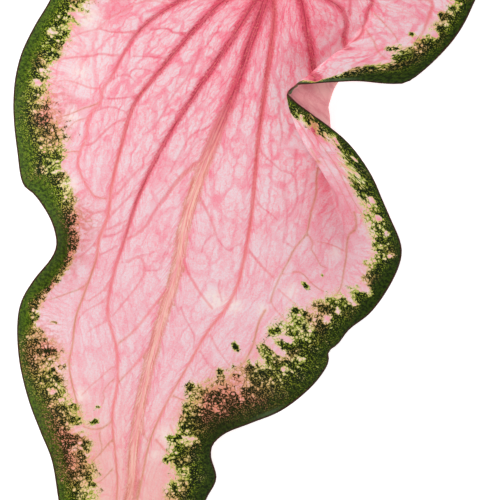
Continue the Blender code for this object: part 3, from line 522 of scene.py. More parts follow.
def nearest(places, line):
    # From each place to the line: the distance, how far along the line, and on which side
    best = np.full(len(places), np.inf)
    along, side = np.zeros((2, len(places)))
    walked = 0
    for start, end in zip(line[:-1], line[1:]):
        run = end - start
        length = max(np.linalg.norm(run), 1e-9)
        off = places - start
        t = np.clip((off @ run) / length**2, 0, 1)
        away = np.linalg.norm(off - t[:, None] * run, axis=1)
        closer = away < best
        best[closer] = away[closer]
        along[closer] = walked + t[closer] * length
        side[closer] = np.sign(run[0] * off[:, 1] - run[1] * off[:, 0])[closer]
        walked += length
    return best, along / walked, side


def inside(places, outline):
    x, y = places[:, 0], places[:, 1]
    found = np.zeros(len(places), bool)
    for (x1, y1), (x2, y2) in zip(outline, np.roll(outline, -1, axis=0)):
        if y1 != y2:
            found ^= ((y1 > y) != (y2 > y)) & (x < (x2 - x1) * (y - y1) / (y2 - y1) + x1)
    return found


def foldLines(outline):
    # Lines along the fold, close together where the sheet turns over
    first, last = fold["rows"][0][0], fold["rows"][-1][0]
    rows = np.arange(first - blade["foldStep"] / 2, last, -blade["foldStep"])
    start, turn, back, _ = foldAt(rows)
    arc = fold["radius"] * turn
    shares = [(a, 0) for a in np.linspace(0, 1, 7)]
    shares += [(1, a) for a in np.linspace(0, 1, 6)[1:-1]]
    shares += [(1 + a, 1) for a in np.linspace(0, 1, 7)]
    closed = np.vstack([outline, outline[:1]])
    lines = []
    for around, along in shares:
        line = np.column_stack([start + around * arc + along * back, rows])
        clear = inside(line, outline) & (nearest(line, closed)[0] > 0.4)
        lines.append((line, clear & (2 * arc + back > fold["shortest"])))
    return lines


def allVeins():
    # Every vein: its looks at both ends, and its course on the blade laid out flat
    rows = [(row[:6], row[6]) for row in veins]
    for half, bold, hue, course in smallVeins:
        rows.append(((half, half * 0.7, bold, bold * 0.8, hue, hue), course))
    return [(looks, seenFromAbove(curve(course, blade["veinStep"]))) for looks, course in rows]


def bladeNet(outline):
    # Points and triangles of the blade laid out flat, with veins and fold as edges
    closed = np.vstack([outline, outline[:1]])
    points = [outline]
    edges = [(i, (i + 1) % len(outline)) for i in range(len(outline))]
    guides = [closed]
    count = len(outline)
    for _, line in allVeins():
        line = line[inside(line, outline) & (nearest(line, closed)[0] > blade["veinClear"])]
        for guide in guides[1:]:
            line = line[nearest(line, guide)[0] > blade["veinClear"]] if len(line) else line
        if len(line) < 2:
            continue
        steps = np.linalg.norm(np.diff(line, axis=0), axis=1)
        joined = np.nonzero(steps < 1.6 * blade["veinStep"])[0]
        edges += [(count + i, count + i + 1) for i in joined]
        points.append(line)
        guides.append(line)
        count += len(line)
    for line, clear in foldLines(outline):
        for guide in guides[1:]:
            clear = clear & (nearest(line, guide)[0] > blade["veinClear"] / 2)
        index = np.full(len(line), -1)
        index[clear] = count + np.arange(clear.sum())
        points.append(line[clear])
        edges += [(a, b) for a, b in zip(index[:-1], index[1:]) if a >= 0 and b >= 0]
        count += int(clear.sum())
    step = blade["gridStep"]
    low, high = outline.min(axis=0), outline.max(axis=0)
    columns = np.arange(low[0], high[0], step)
    rows = np.arange(low[1], high[1], step * math.sqrt(3) / 2)
    grid = np.vstack([
        np.column_stack([columns + step / 2 * (j % 2), np.full(len(columns), y)])
        for j, y in enumerate(rows)
    ])
    grid = grid[inside(grid, outline)]
    start, turn, back, _ = foldAt(grid[:, 1])
    s = grid[:, 0] - start
    length = 2 * fold["radius"] * turn + back
    grid = grid[(length < fold["shortest"]) | (s < -step / 3) | (s > length + step / 3)]
    for guide in guides:
        grid = grid[nearest(grid, guide)[0] > step / 2]
    points.append(grid)
    made = geometry.delaunay_2d_cdt([tuple(p) for p in np.vstack(points)], edges, [], 1, 1e-4)
    return np.array([tuple(p) for p in made[0]]), np.array([tuple(face) for face in made[2]])


def halved(flat, faces):
    # The same net with each triangle cut into four
    pairs = np.sort(np.vstack([faces[:, [0, 1]], faces[:, [1, 2]], faces[:, [2, 0]]]), axis=1)
    edges, which = np.unique(pairs, axis=0, return_inverse=True)
    middle = which.reshape(3, -1) + len(flat)
    flat = np.vstack([flat, (flat[edges[:, 0]] + flat[edges[:, 1]]) / 2])
    a, b, c = faces.T
    ab, bc, ca = middle
    corners = [(a, ab, ca), (b, bc, ab), (c, ca, bc), (ab, bc, ca)]
    return flat, np.vstack([np.column_stack(corner) for corner in corners])


def openEdges(faces):
    # Directed edges that only one triangle has, as pairs of point numbers
    directed = np.vstack([faces[:, [0, 1]], faces[:, [1, 2]], faces[:, [2, 0]]])
    known = set(map(tuple, directed))
    return np.array([(a, b) for a, b in directed if (b, a) not in known])


def tapered(looks, share):
    # Half width of a vein; the long ones narrow early
    left = 1 - share
    if looks[0] - looks[1] > 1:
        left = left ** blade["veinTaper"]
    return looks[1] + (looks[0] - looks[1]) * left


def veinFields(flat):
    # Distance to the vein that shows most at each place, its half width, boldness and hue
    reach = blade["veinReach"]
    score = np.full(len(flat), float(reach))
    away = score.copy()
    half, bold, hue = np.zeros((3, len(flat)))
    for looks, line in allVeins():
        box = (flat > line.min(axis=0) - reach) & (flat < line.max(axis=0) + reach)
        near = np.nonzero(box.all(axis=1))[0]
        d, share, _ = nearest(flat[near], line)
        width = tapered(looks, share)
        better = d - width < score[near]
        mine, share = near[better], share[better]
        score[mine] = (d - width)[better]
        away[mine] = d[better]
        half[mine] = width[better]
        bold[mine] = looks[2] + (looks[3] - looks[2]) * share
        hue[mine] = looks[4] + (looks[5] - looks[4]) * share**2
    return away, half, bold, hue


def mainVeinFields(flat):
    # Distance across and along the nearest of the wide veins, and its half width
    across = np.full(len(flat), 99.0)
    along, width = np.zeros((2, len(flat)))
    for looks, line in allVeins():
        if looks[0] < 1:
            continue
        d, share, side = nearest(flat, line)
        length = np.linalg.norm(np.diff(line, axis=0), axis=1).sum()
        from0 = np.linalg.norm(line[0])
        closer = d < np.abs(across)
        across[closer] = (d * side)[closer]
        along[closer] = from0 + share[closer] * length
        width[closer] = tapered(looks, share[closer])
    return across, along, width


def laneField(flat):
    rows = []
    for lane, course in lanes:
        rows += [(x, y, lane) for x, y in seenFromAbove(course)]
    return ThinPlate(rows).at(flat)


def greenField(away, along, outline):
    # How green each place is: above 0 more than half of it, above 1 all of it
    closed = np.vstack([outline, outline[:1]])
    rows = []
    for x, y, solid, reach in greenBand:
        place = seenFromAbove([(x, y)])
        rows.append((nearest(place, closed)[1][0], solid, reach))
    rows.sort()
    shares = [row[0] for row in rows]
    solid = np.interp(along, shares, [row[1] for row in rows], period=1)
    reach = np.interp(along, shares, [row[2] for row in rows], period=1)
    raw = ((solid + reach) / 2 - away) / ((reach - solid) / 2 + 0.25)
    green = np.clip(raw, -3, 3)
    return np.where(np.abs(green) < 1, 0.45 * green + 0.55 * green**3, green)


def withIslands(green, flat, outline):
    for x, y, long, wide, amount in islands:
        centre = seenFromAbove([(x, y)])[0]
        to = outline - centre
        ahead = to[np.argmin((to**2).sum(axis=1))]
        ahead = ahead / np.linalg.norm(ahead)
        off = flat - centre
        lengthwise = (off @ ahead) / long
        sideways = (off @ [-ahead[1], ahead[0]]) / wide
        share = np.exp(-((lengthwise**2 + sideways**2) ** 1.5))
        level = amount * blade["islandFill" if amount > 0 else "islandClear"]
        green = green + (level - green) * share
    return green


def patchFields(flat):
    fields = np.zeros((4, len(flat)))
    for x, y, radius, *amounts in patches:
        centre = seenFromAbove([(x, y)])[0]
        near = np.exp(-(((flat - centre) / radius) ** 2).sum(axis=1))
        for field, amount in zip(fields, amounts):
            field += amount * near
    return fields


def glintField(flat):
    shine = np.zeros(len(flat))
    for x, y, radius in glints:
        centre = seenFromAbove([(x, y)])[0]
        shine = np.maximum(shine, np.exp(-(((flat - centre) / radius) ** 2).sum(axis=1)))
    return shine


def puckers(flat, away):
    # Swellings between the veins, less where a vein holds the blade down
    size = blade["puckerSize"]
    wave = np.array([noise.noise(Vector((x / size, y / size, 3.7))) for x, y in flat])
    small = np.array([noise.noise(Vector((x / size * 2.6, y / size * 2.6, 9.1))) for x, y in flat])
    free = np.clip(away / blade["puckerClear"], 0, 1)
    return blade["pucker"] * free * (wave + 0.35 * small)


def ribDepth(flat):
    depth = np.zeros(len(flat))
    for deep, half, course in ribs:
        line = curve(course, 4.2)
        away = nearest(flat, line)[0]
        toEnd = np.linalg.norm(flat - line[-1], axis=1)
        taper = 0.25 + 0.75 * np.clip(toEnd / 30, 0, 1)
        round_ = np.clip(1 - (away / (half + 0.5)) ** 2, 0, 1)
        depth = np.maximum(depth, deep * taper * round_**0.7)
    start, turn, _, _ = foldAt(flat[:, 1])
    depth[(flat[:, 0] > start - 4) & (turn > 0)] = 0
    return depth


def giveField(mesh, name, values):
    # Three numbers for each point of the mesh
    field = mesh.attributes.new(name, "FLOAT_VECTOR", "POINT")
    field.data.foreach_set("vector", np.asarray(values, np.float32).ravel())


def placed(mesh):
    # An object of the finished mesh, named as the mesh is
    mesh.validate()
    mesh.shade_smooth()
    made = bpy.data.objects.new(mesh.name, mesh)
    bpy.context.collection.objects.link(made)
    print(mesh.name, "made:", len(mesh.polygons), "faces")
    return made


def roundedRim(flat, faces, top, bottom):
    # The rim stands out from the margin, half way between both sides
    rimEdges = openEdges(faces)
    rim = np.unique(rimEdges)
    ahead = np.zeros((len(flat), 2))
    for a, b in rimEdges:
        step = flat[b] - flat[a]
        ahead[a] += step
        ahead[b] += step
    outward = np.column_stack([ahead[rim, 1], -ahead[rim, 0]])
    outward /= np.linalg.norm(outward, axis=1)[:, None]
    reach = sheet(flat[rim] + outward * 0.05) - sheet(flat[rim])
    reach /= np.maximum(np.linalg.norm(reach, axis=1), 1e-9)[:, None]
    edge = (top[rim] + bottom[rim]) / 2 + reach * blade["rimReach"]
    count = len(flat)
    place = np.full(count, -1)
    place[rim] = 2 * count + np.arange(len(rim))
    rimFaces = []
    for a, b in rimEdges:
        rimFaces += [(b, a, place[a]), (b, place[a], place[b])]
        rimFaces += [(place[b], place[a], a + count), (place[b], a + count, b + count)]
    return rim, edge, np.array(rimFaces)


def makeBlade(upperSkin, underSkin, rimSkin):
    outline = marginLine()
    flat, faces = halved(*bladeNet(outline))
    print("blade net:", len(flat), "points,", len(faces), "triangles")
    closed = np.vstack([outline, outline[:1]])
    toMargin, along, _ = nearest(flat, closed)
    perimeter = np.linalg.norm(np.diff(closed, axis=0), axis=1).sum()
    away, half, bold, hue = veinFields(flat)
    green = withIslands(greenField(toMargin, along, outline), flat, outline)
    pale, rosy, paintedShade, brown = patchFields(flat)
    lane = laneField(flat)
    run = np.hypot(flat[:, 0], flat[:, 1])
    print("blade fields done")

    sink = blade["veinSink"] * np.exp(-(away / blade["sinkReach"]) ** 2) * np.clip(half, 0, 1)
    swell = puckers(flat, np.minimum(away, toMargin)) - sink
    under = sheet(flat)
    normal = facing(flat)
    ease = np.clip(under[:, 2] / 2, 0, 1)
    under = under + normal * (np.maximum(swell, -0.3) * ease)[:, None]
    top = under + normal * blade["thickness"]
    bottom = under - normal * ribDepth(flat)[:, None]
    fromHub = np.linalg.norm(flat, axis=1) - blade["hubRadius"]
    hub = np.clip(1 - fromHub / blade["hubBlend"], 0, 1)
    hub = hub * hub * (3 - 2 * hub)
    bottom[:, 2] += (blade["hubHeight"] - bottom[:, 2]) * hub
    bottom[:, 2] = np.maximum(bottom[:, 2], 0)
    rim, edge, rimFaces = roundedRim(flat, faces, top, bottom)

    points = (np.vstack([top, bottom, edge]) + np.array([*junction, 0])) * mm
    allFaces = np.vstack([faces, faces[:, ::-1] + len(flat), rimFaces])
    mesh = bpy.data.meshes.new("caladiumBlade")
    mesh.from_pydata(points.tolist(), [], allFaces.tolist())
    for skin in (upperSkin, underSkin, rimSkin):
        mesh.materials.append(skin)
    index = np.repeat([0, 1, 2], [len(faces), len(faces), len(rimFaces)]).astype(np.int32)
    mesh.polygons.foreach_set("material_index", index)
    zero = np.zeros(len(flat))
    fields = {
        "place": (*flat.T, zero),
        "strand": (lane, run, zero),
        "edge": (along * perimeter, toMargin, green),
        "vein": (away, half, bold),
        "toneAndShade": (pale, rosy, paintedShade),
        # the third number carries the painted highlights of the glints
        "hueBrownGlint": (hue, brown, glintField(flat)),
        "mainVein": mainVeinFields(flat),
    }
    for name, columns in fields.items():
        values = np.column_stack(columns)
        giveField(mesh, name, np.vstack([values, values, values[rim]]))
    return placed(mesh)


class Flow:
    # A number that changes over the surface, written in sums like any number

    def __init__(self, finish, socket):
        self.finish, self.socket = finish, socket

    def maths(self, operation, *values, clamp=False):
        settings = {"operation": operation, "use_clamp": clamp}
        return self.finish.node("Math", settings, values)

    def __add__(self, other):
        return self.maths("ADD", self, other)

    def __sub__(self, other):
        return self.maths("SUBTRACT", self, other)

    def __rsub__(self, other):
        return self.maths("SUBTRACT", other, self)

    def __mul__(self, other):
        return self.maths("MULTIPLY", self, other)

    def __truediv__(self, other):
        return self.maths("DIVIDE", self, other)

    def __rtruediv__(self, other):
        return self.maths("DIVIDE", other, self)

    def __abs__(self):
        return self.maths("ABSOLUTE", self)

    __radd__, __rmul__ = __add__, __mul__

    def clamped(self):
        return self.maths("ADD", self, 0, clamp=True)

    def most(self, other):
        return self.maths("MAXIMUM", self, other)

    def step(self, low, high):
        # 0 below low, 1 above high and smooth between; low above high turns it round
        settings = {"interpolation_type": "SMOOTHSTEP"}
        values = {"Value": self, "From Min": low, "From Max": high}
        return self.finish.node("MapRange", settings, values)

    def spread(self):
        # Noise stretched from its usual range to 0 and 1
        return self.step(0.36, 0.64)


class Finish:
    # A material under construction

    def __init__(self, name):
        self.made = bpy.data.materials.new(name)
        self.made.use_nodes = True
        self.tree = self.made.node_tree
        self.surface = self.tree.nodes["Principled BSDF"]

    def node(self, kind, settings=None, values=(), out=0):
        node = self.tree.nodes.new("ShaderNode" + kind)
        for name, value in (settings or {}).items():
            setattr(node, name, value)
        pairs = values.items() if isinstance(values, dict) else enumerate(values)
        for name, value in pairs:
            self.put(node.inputs[name], value)
        return Flow(self, node.outputs[out])

    def put(self, socket, value):
        if isinstance(value, Flow):
            self.tree.links.new(value.socket, socket)
        else:
            socket.default_value = value

    def field(self, name):
        return self.node("Attribute", {"attribute_name": name}, out="Vector")

    def parts(self, vector):
        split = self.node("SeparateXYZ", None, [vector])
        return [Flow(self, output) for output in split.socket.node.outputs]

    def vector(self, x=0.0, y=0.0, z=0.0):
        return self.node("CombineXYZ", None, [x, y, z])

    def scaled(self, vector, factors):
        return self.node("VectorMath", {"operation": "MULTIPLY"}, [vector, factors])

    def moved(self, vector, other):
        return self.node("VectorMath", {"operation": "ADD"}, [vector, other])

    def cloud(self, vector, scale, detail=2.0, roughness=0.5, out=0):
        values = {"Vector": vector, "Scale": scale, "Detail": detail, "Roughness": roughness}
        return self.node("TexNoise", None, values, out)

    def cells(self, vector, scale=1.0, out=0, feature="DISTANCE_TO_EDGE"):
        values = {"Vector": vector, "Scale": scale}
        return self.node("TexVoronoi", {"feature": feature}, values, out)

    def net(self, vector, size, width):
        # Lines between cells of the given size
        return self.cells(self.scaled(vector, (*size, 0))).step(width, 0.02)

    def stretched(self, vector, size, roughness=0.5):
        return self.cloud(self.scaled(vector, (*size, 0)), 1.0, 2, roughness)

    def mix(self, amount, a, b, blend="MIX"):
        node = self.tree.nodes.new("ShaderNodeMix")
        node.data_type, node.blend_type = "RGBA", blend
        for name, value in zip(("Factor_Float", "A_Color", "B_Color"), (amount, a, b)):
            socket = next(s for s in node.inputs if s.identifier == name)
            self.put(socket, value)
        return Flow(self, next(s for s in node.outputs if s.identifier == "Result_Color"))

    def finishUp(self, colour, roughness, height, depth, **fixed):
        bump = self.node("Bump", None, {"Height": height, "Strength": 1.0, "Distance": depth})
        self.put(self.surface.inputs["Base Color"], colour)
        self.put(self.surface.inputs["Roughness"], roughness)
        self.put(self.surface.inputs["Normal"], bump)
        for name, value in fixed.items():
            self.surface.inputs[name.replace("_", " ")].default_value = value
        return self.made


def tint(r, g, b):
    # A colour as the eye sees it, 0 to 255, turned into light
    linear = [c / 255 / 12.92 if c <= 10 else ((c / 255 + 0.055) / 1.055) ** 2.4 for c in (r, g, b)]
    return (*linear, 1.0)


# Colours as the eye sees them
pinks = {
    "pale": tint(234, 208, 214),
    "deep": tint(246, 108, 130),
    "net": tint(240, 92, 124),
    "whitish": tint(246, 228, 218),
    "paintedShadeRose": tint(206, 120, 136),
    "peach": tint(240, 170, 146),
}
veinTints = {
    "rose": tint(228, 72, 100),
    "salmon": tint(238, 124, 122),
    "tan": tint(222, 148, 116),
    "cream": tint(244, 196, 172),
    "blush": tint(240, 150, 150),
    "thread": tint(206, 118, 92),
    "crimson": tint(142, 24, 44),
    "coral": tint(204, 76, 76),
    "olive": tint(166, 116, 60),
}
greens = {
    "dark": tint(19, 28, 5),
    "middle": tint(40, 56, 9),
    "bright": tint(92, 120, 20),
    "sheenGrey": tint(84, 104, 70),
    "lime": tint(168, 184, 48),
    "cream": tint(238, 222, 140),
    "brown": tint(70, 54, 22),
    "rust": tint(220, 142, 108),
    "rim": tint(58, 26, 22),
    "rimLight": tint(112, 66, 48),
}
underTints = {
    "pale": tint(244, 176, 174),
    "deep": tint(234, 146, 152),
    "net": tint(212, 104, 120),
    "rib": tint(214, 150, 130),
    "dust": tint(236, 186, 180),
    "greyGreen": tint(104, 122, 84),
    "green": tint(82, 102, 66),
}
stalkTints = {
    "tan": tint(146, 128, 74),
    "brown": tint(104, 74, 46),
    "fleck": tint(70, 42, 34),
    "hub": tint(196, 128, 104),
    "green": tint(126, 132, 72),
    "cutPith": tint(214, 206, 150),
    "cutEdge": tint(132, 118, 62),
    "cutDots": tint(150, 116, 66),
}


upperLook = {
    "wander": 3.0,               # how far the net leaves straight lanes, mm
    "rayReach": (24, 12),        # from here to the margin, lines turn square to it
    "crispReach": (-130, -30),   # the net is softer towards the tip
    "coarseNet": 0.75,
    "fineNet": 0.34,
    "grain": 0.3,
    "feather": 0.5,              # strokes beside the wide veins
    "ragged": 1.2,               # how far the wide veins fray, mm
    "fingers": 3.8,              # what breaks up the inner border of the green
    "clumps": 3.0,
    "cellChance": 0.9,
    "cellSeams": 3.0,
    "dust": 2.0,
    "rim": (0.6, 0.3),           # the dark line along the margin, mm
    "sheen": 0.07,
    "bump": 0.00025,
}


def pinkField(f, look, place, strand, edge, wobble, toneAndShade):
    # How pink each place is: streaks along the veins, a net of finer veins, and mottling
    _, y, _ = f.parts(place)
    _, margin, _ = f.parts(edge)
    pale, rosy, _ = f.parts(toneAndShade)
    warped, warpedEdge = f.moved(strand, wobble), f.moved(edge, wobble)
    patch, fade = f.cloud(place, 0.08), f.cloud(place, 0.16)
    nearMargin = margin.step(*look["rayReach"])
    crisp = y.step(*look["crispReach"]) * 0.55 + 0.45

    broad = f.stretched(warped, (0.28, 0.06)).spread()
    streak = f.stretched(warped, (0.9, 0.14), 0.6).spread()
    ray = f.stretched(warpedEdge, (0.9, 0.12), 0.6).spread()
    streak = streak + (ray - streak) * nearMargin
    coarse, radial = f.net(warped, (0.2, 0.075), 0.12), f.net(warpedEdge, (0.22, 0.075), 0.12)
    coarse = coarse + (radial - coarse) * nearMargin
    fine, radial = f.net(warped, (0.5, 0.2), 0.14), f.net(warpedEdge, (0.5, 0.2), 0.14)
    fine = fine + (radial - fine) * nearMargin
    mottle = f.cloud(place, 0.9, 2, 0.6).spread()
    grain = f.cloud(place, 2.0, 2, 0.6)

    pinkness = patch.step(0.3, 0.7) * 0.14 + rosy * 0.34 - pale * 0.2 + 0.09
    pinkness = pinkness + (broad - 0.5) * 0.12 + (streak - 0.5) * crisp * 0.18
    pinkness = pinkness + (mottle - 0.5) * 0.12 + (grain.spread() - 0.5) * look["grain"]
    pinkness = pinkness + fine * (fade.step(0.25, 0.55) * 0.6 + 0.4) * crisp * look["fineNet"]
    colour = f.mix(pinkness.clamped(), pinks["pale"], pinks["deep"])
    colour = f.mix(y.step(-140, -205) * 0.5, colour, pinks["peach"])
    colour = f.mix(coarse * (0.2 + fade * 0.8) * crisp * look["coarseNet"], colour, pinks["net"])
    paler = (pale * 1.3 - 0.2 + patch.step(0.62, 0.8) * 0.1).clamped()
    colour = f.mix(paler * f.cloud(place, 0.6).step(0.25, 0.6) * 0.75, colour, pinks["whitish"])
    return colour, coarse, fine, grain


def withVeins(f, look, colour, place, strand, vein, mainVein, hue):
    # Wide veins: short strokes leave them towards the tip, and lines run along them
    lane, run, _ = f.parts(strand)
    away, half, bold = f.parts(vein)
    across, along, mainHalf = f.parts(mainVein)
    offset = abs(across)
    strokes = f.cloud(f.vector(along * 0.8 - offset * 2.0, across * 0.22), 1.0, 2, 0.6)
    threads = f.cloud(f.vector(across * 1.7, along * 0.07), 1.0, 2, 0.6)
    fibre = f.cloud(f.vector(across * 2.6, along * 0.1, 4.0), 1.0, 2, 0.6)
    flecks = f.cloud(place, 1.3, 2, 0.6)
    feather = strokes.step(0.46, 0.6) * (offset / (mainHalf + 0.1)).step(3.4, 0.8)
    colour = f.mix(feather * look["feather"], colour, pinks["net"])

    # Distance from the middle of the vein, in half widths, with a frayed edge
    wide = half.step(0.5, 1.0)
    fray = ((strokes - 0.5) * 2.4 + (flecks - 0.5) * 1.6) * half.step(0.2, 1.6)
    ratio = (away + fray * look["ragged"]) / half.most(0.3)
    flank = f.mix(hue.step(0.0, 0.5), veinTints["rose"], veinTints["salmon"])
    flank = f.mix(hue.step(0.5, 0.95), flank, veinTints["tan"])
    core = f.mix(hue.step(0.0, 0.45), veinTints["crimson"], veinTints["coral"])
    core = f.mix(hue.step(0.4, 0.85), core, veinTints["olive"])

    # Away from the hub the midrib is a pale band of threads, without a dark core
    midrib = abs(lane + 5).step(9, 5) * run.step(42, 85) * wide
    band = f.mix(threads.step(0.4, 0.6), veinTints["cream"], veinTints["blush"])
    flank = f.mix(midrib * 0.95, flank, band)
    soft = ratio.step(1.9, 0.2) * (1 - wide) * 0.8 + ratio.step(1.5, 0.4) * wide * 0.85
    colour = f.mix(soft * bold, colour, flank)
    coreShare = (wide * 0.85 + hue.step(0.4, 0.8) * 0.6).clamped()
    coreShare = ratio.step(0.9, 0.1) * (1 - midrib) * coreShare * bold
    coreShare = coreShare * (0.3 + threads.step(0.42, 0.6) * 0.7) * 0.95
    colour = f.mix(coreShare.clamped(), colour, core)
    glimmer = flecks.step(0.54, 0.66) * ratio.step(1.3, 0.3) * wide * (1 - midrib)
    colour = f.mix(glimmer * 0.4, colour, veinTints["tan"])
    flanking = abs(ratio - 0.8).step(0.4, 0.1) * 0.45
    fibres = fibre.step(0.5, 0.62) * ratio.step(1.4, 0.8) * 0.5 + flanking
    fibreTint = f.mix(run.step(80, 45), veinTints["thread"], veinTints["crimson"])
    return f.mix(fibres.clamped() * midrib * 0.8, colour, fibreTint), ratio, wide, flecks


def makeUpperSkin():
    f, look = Finish("caladiumUpperSkin"), upperLook
    place, strand, edge = f.field("place"), f.field("strand"), f.field("edge")
    toneAndShade, vein, mainVein = f.field("toneAndShade"), f.field("vein"), f.field("mainVein")
    x, y, _ = f.parts(place)
    _, _, paintedShade = f.parts(toneAndShade)
    hue, brown, glint = f.parts(f.field("hueBrownGlint"))
    arc, margin, green = f.parts(edge)
    wander = look["wander"]
    wobble = f.scaled(f.cloud(place, 0.3, out="Color"), (wander, wander, 0))
    colour, coarse, fine, grain = pinkField(f, look, place, strand, edge, wobble, toneAndShade)
    colour, ratio, wide, flecks = withVeins(f, look, colour, place, strand, vein, mainVein, hue)
    # Painted shade: the patches darken the pink towards a dusky rose
    colour = f.mix((paintedShade * 0.8).clamped(), colour, pinks["paintedShadeRose"], "MULTIPLY")
    rusty = (brown * f.cloud(place, 0.8).step(0.35, 0.6)).clamped()
    rusty = rusty * (fine.most(coarse) * 0.8).most(ratio.step(1.2, 0.3) * 0.6)
    colour = f.mix(rusty, colour, veinTints["thread"])

    # Green creeps in from the margin in fingers square to it, as a net of cells that fills up
    inwards = f.vector(arc * 0.3, margin * 0.1, (x - y) * 0.07)
    fingers = f.cloud(f.moved(inwards, f.scaled(wobble, (0.12, 0.12, 0))), 1.0) - 0.5
    clumps = f.cloud(place, 0.42, 2, 0.6) - 0.5
    cellNet = f.scaled(f.moved(place, f.scaled(wobble, (0.3, 0.3, 0))), (0.8, 0.8, 0))
    chance, second, _ = f.parts(f.cells(cellNet, out="Color", feature="F1"))
    dust = f.cloud(place, 2.2, 1) - 0.5
    depth = green + fingers * look["fingers"] + clumps * look["clumps"]
    depth = depth + (chance - 0.5) * look["cellChance"] - ratio.step(1.6, 0.2) * 0.4
    depth = depth + (0.2 - f.cells(cellNet)) * look["cellSeams"] + dust * look["dust"]
    isGreen = depth.step(-0.12, 0.12)
    halo = depth.step(-1.5, -0.2) * green.step(-1.9, -0.6)
    limey = depth.step(-0.9, -0.1) * f.cloud(place, 0.2, 1).step(0.25, 0.45) + chance * 0.3
    haloTint = f.mix(limey.clamped(), greens["cream"], greens["lime"])
    rusts = brown + f.cloud(place, 0.09, 1).step(0.5, 0.65) * 0.5
    haloTint = f.mix(rusts.clamped(), haloTint, greens["rust"])
    colour = f.mix((halo * 0.85).clamped(), colour, haloTint)

    weave = f.cloud(place, 1.0, 3, 0.65)
    # Painted light and shade: the green is brighter towards the left, where the key lamp is, and
    # darker towards the right; it is also darker near its inner border
    paintedLitSide = x.step(15, -40) * 0.75 + 0.1
    leafGreen = f.mix(weave.spread() * paintedLitSide, greens["middle"], greens["bright"])
    shadeAndInnerDark = weave.step(0.58, 0.4) * (1.05 - paintedLitSide) + green.step(1.4, 0.6) * 0.9
    leafGreen = f.mix(shadeAndInnerDark.clamped(), leafGreen, greens["dark"])
    leafGreen = f.mix((brown * 0.4 * flecks.step(0.4, 0.6)).clamped(), leafGreen, greens["brown"])
    # Painted shade: the same patches darken the green
    leafGreen = f.mix((paintedShade * 0.9).clamped(), leafGreen, greens["dark"])
    pits = (0.5 - flecks).step(0.02, 0.14) * 0.55 * green.step(2.6, 1.0)
    leafGreen = f.mix(pits, leafGreen, greens["dark"])
    sparks = (dust - 0.17 + second * 0.14).step(-0.03, 0.03)
    # Painted light: the specks show more on the lit left side
    sparks = sparks * green.step(2.2, 0.6) * (0.55 + paintedLitSide * 0.45)
    leafGreen = f.mix(sparks, leafGreen, haloTint)
    # Painted highlight: a grey sheen on the green at the glints, and along the outer strip on the
    # lit side
    paintedSheen = glint * margin.step(0.35, 0.7) * margin.step(2.2, 1.2) * 0.8
    paintedSheen = paintedSheen.most(margin.step(4, 0.6) * paintedLitSide * 0.16)
    leafGreen = f.mix(paintedSheen, leafGreen, greens["sheenGrey"])
    colour = f.mix(isGreen, colour, leafGreen)
    rimShare = (margin + (weave - 0.5) * 0.4).step(*look["rim"])
    colour = f.mix(rimShare * 0.95, colour, greens["rim"])

    roughness = 0.5 - isGreen * 0.08 + grain * 0.1
    height = ratio.step(1.6, 0.0) * (wide * -0.6 - 0.06) - coarse * 0.12
    height = height + grain * 0.12 + weave * isGreen * 0.2
    return f.finishUp(colour, roughness, height, look["bump"], Specular_IOR_Level=look["sheen"])


def makeUnderSkin():
    f = Finish("caladiumUnderSkin")
    place, strand, edge = f.field("place"), f.field("strand"), f.field("edge")
    veinAway, veinHalf, veinBold = f.parts(f.field("vein"))
    _, margin, green = f.parts(edge)
    wobble = f.scaled(f.cloud(place, 0.35, out="Color"), (2.4, 2.4, 0))
    warped = f.moved(strand, wobble)
    cloudy = f.cloud(place, 0.12, 3)
    colour = f.mix(cloudy.step(0.35, 0.65), underTints["pale"], underTints["deep"])
    coarse = f.cells(f.scaled(warped, (0.16, 0.085, 0))).step(0.09, 0.0)
    fine = f.cells(f.scaled(warped, (0.42, 0.27, 0))).step(0.12, 0.0)
    net = (coarse * 0.5).most(fine * 0.3)
    colour = f.mix(net, colour, underTints["net"])
    ratio = veinAway / veinHalf.most(0.2)
    colour = f.mix(ratio.step(1.2, 0.4) * veinBold * 0.7, colour, underTints["rib"])
    grain = f.cloud(place, 2.2, 2)
    colour = f.mix(grain.step(0.45, 0.7) * 0.3, colour, underTints["dust"])
    clump = f.stretched(edge, (0.34, 0.16)) - 0.5
    speck = f.stretched(edge, (1.15, 0.7), 0.6) - 0.5
    depth = green + clump * 2.2 + speck * 2.4
    blotches = f.cloud(place, 0.5, 3).step(0.35, 0.65)
    leafGreen = f.mix(blotches, underTints["greyGreen"], underTints["green"])
    colour = f.mix(depth.step(-0.12, 0.12), colour, leafGreen)
    colour = f.mix(margin.step(0.8, 0.3) * 0.8, colour, greens["rim"])
    height = net * 0.5 + ratio.step(1.2, 0.0) * 0.5 + grain * 0.15
    return f.finishUp(colour, 0.6 - grain * 0.1, height, 0.0003, Specular_IOR_Level=0.3)


def makeRimSkin():
    f = Finish("caladiumRim")
    patchy = f.cloud(f.field("place"), 0.4)
    colour = f.mix(patchy.step(0.35, 0.65), greens["rim"], greens["rimLight"])
    return f.finishUp(colour, 0.5 + patchy * 0.1, patchy, 0.0001, Specular_IOR_Level=0.3)


stalk = {
    "topRadius": 2.7,
    "cutRadius": 3.5,
    "flat": 0.15,                # how deep the underside is pressed flat where it lies
    "bend": 8,                   # radius of the bend up to the hub
    "run": [(0, 6), (0.4, 30), (-1.5, 70), (-5, 110), (-6.5, 145), (-5, 163.5)],
    "sides": 48,
    "step": 1.2,
    "ridges": 9,
    "ridgeDepth": 0.018,         # shares of the radius
    "groove": 0.05,
    "unevenness": 0.012,
    "grooveWidth": 0.35,         # radians
    "flare": 1.5,                # the stalk widens by this much where it joins the blade
    "flareLength": 4.0,
    "cutRings": [(0.97, 0.12), (0.9, 0.2), (0.7, 0.14), (0.4, 0.05)],  # width, distance out
}


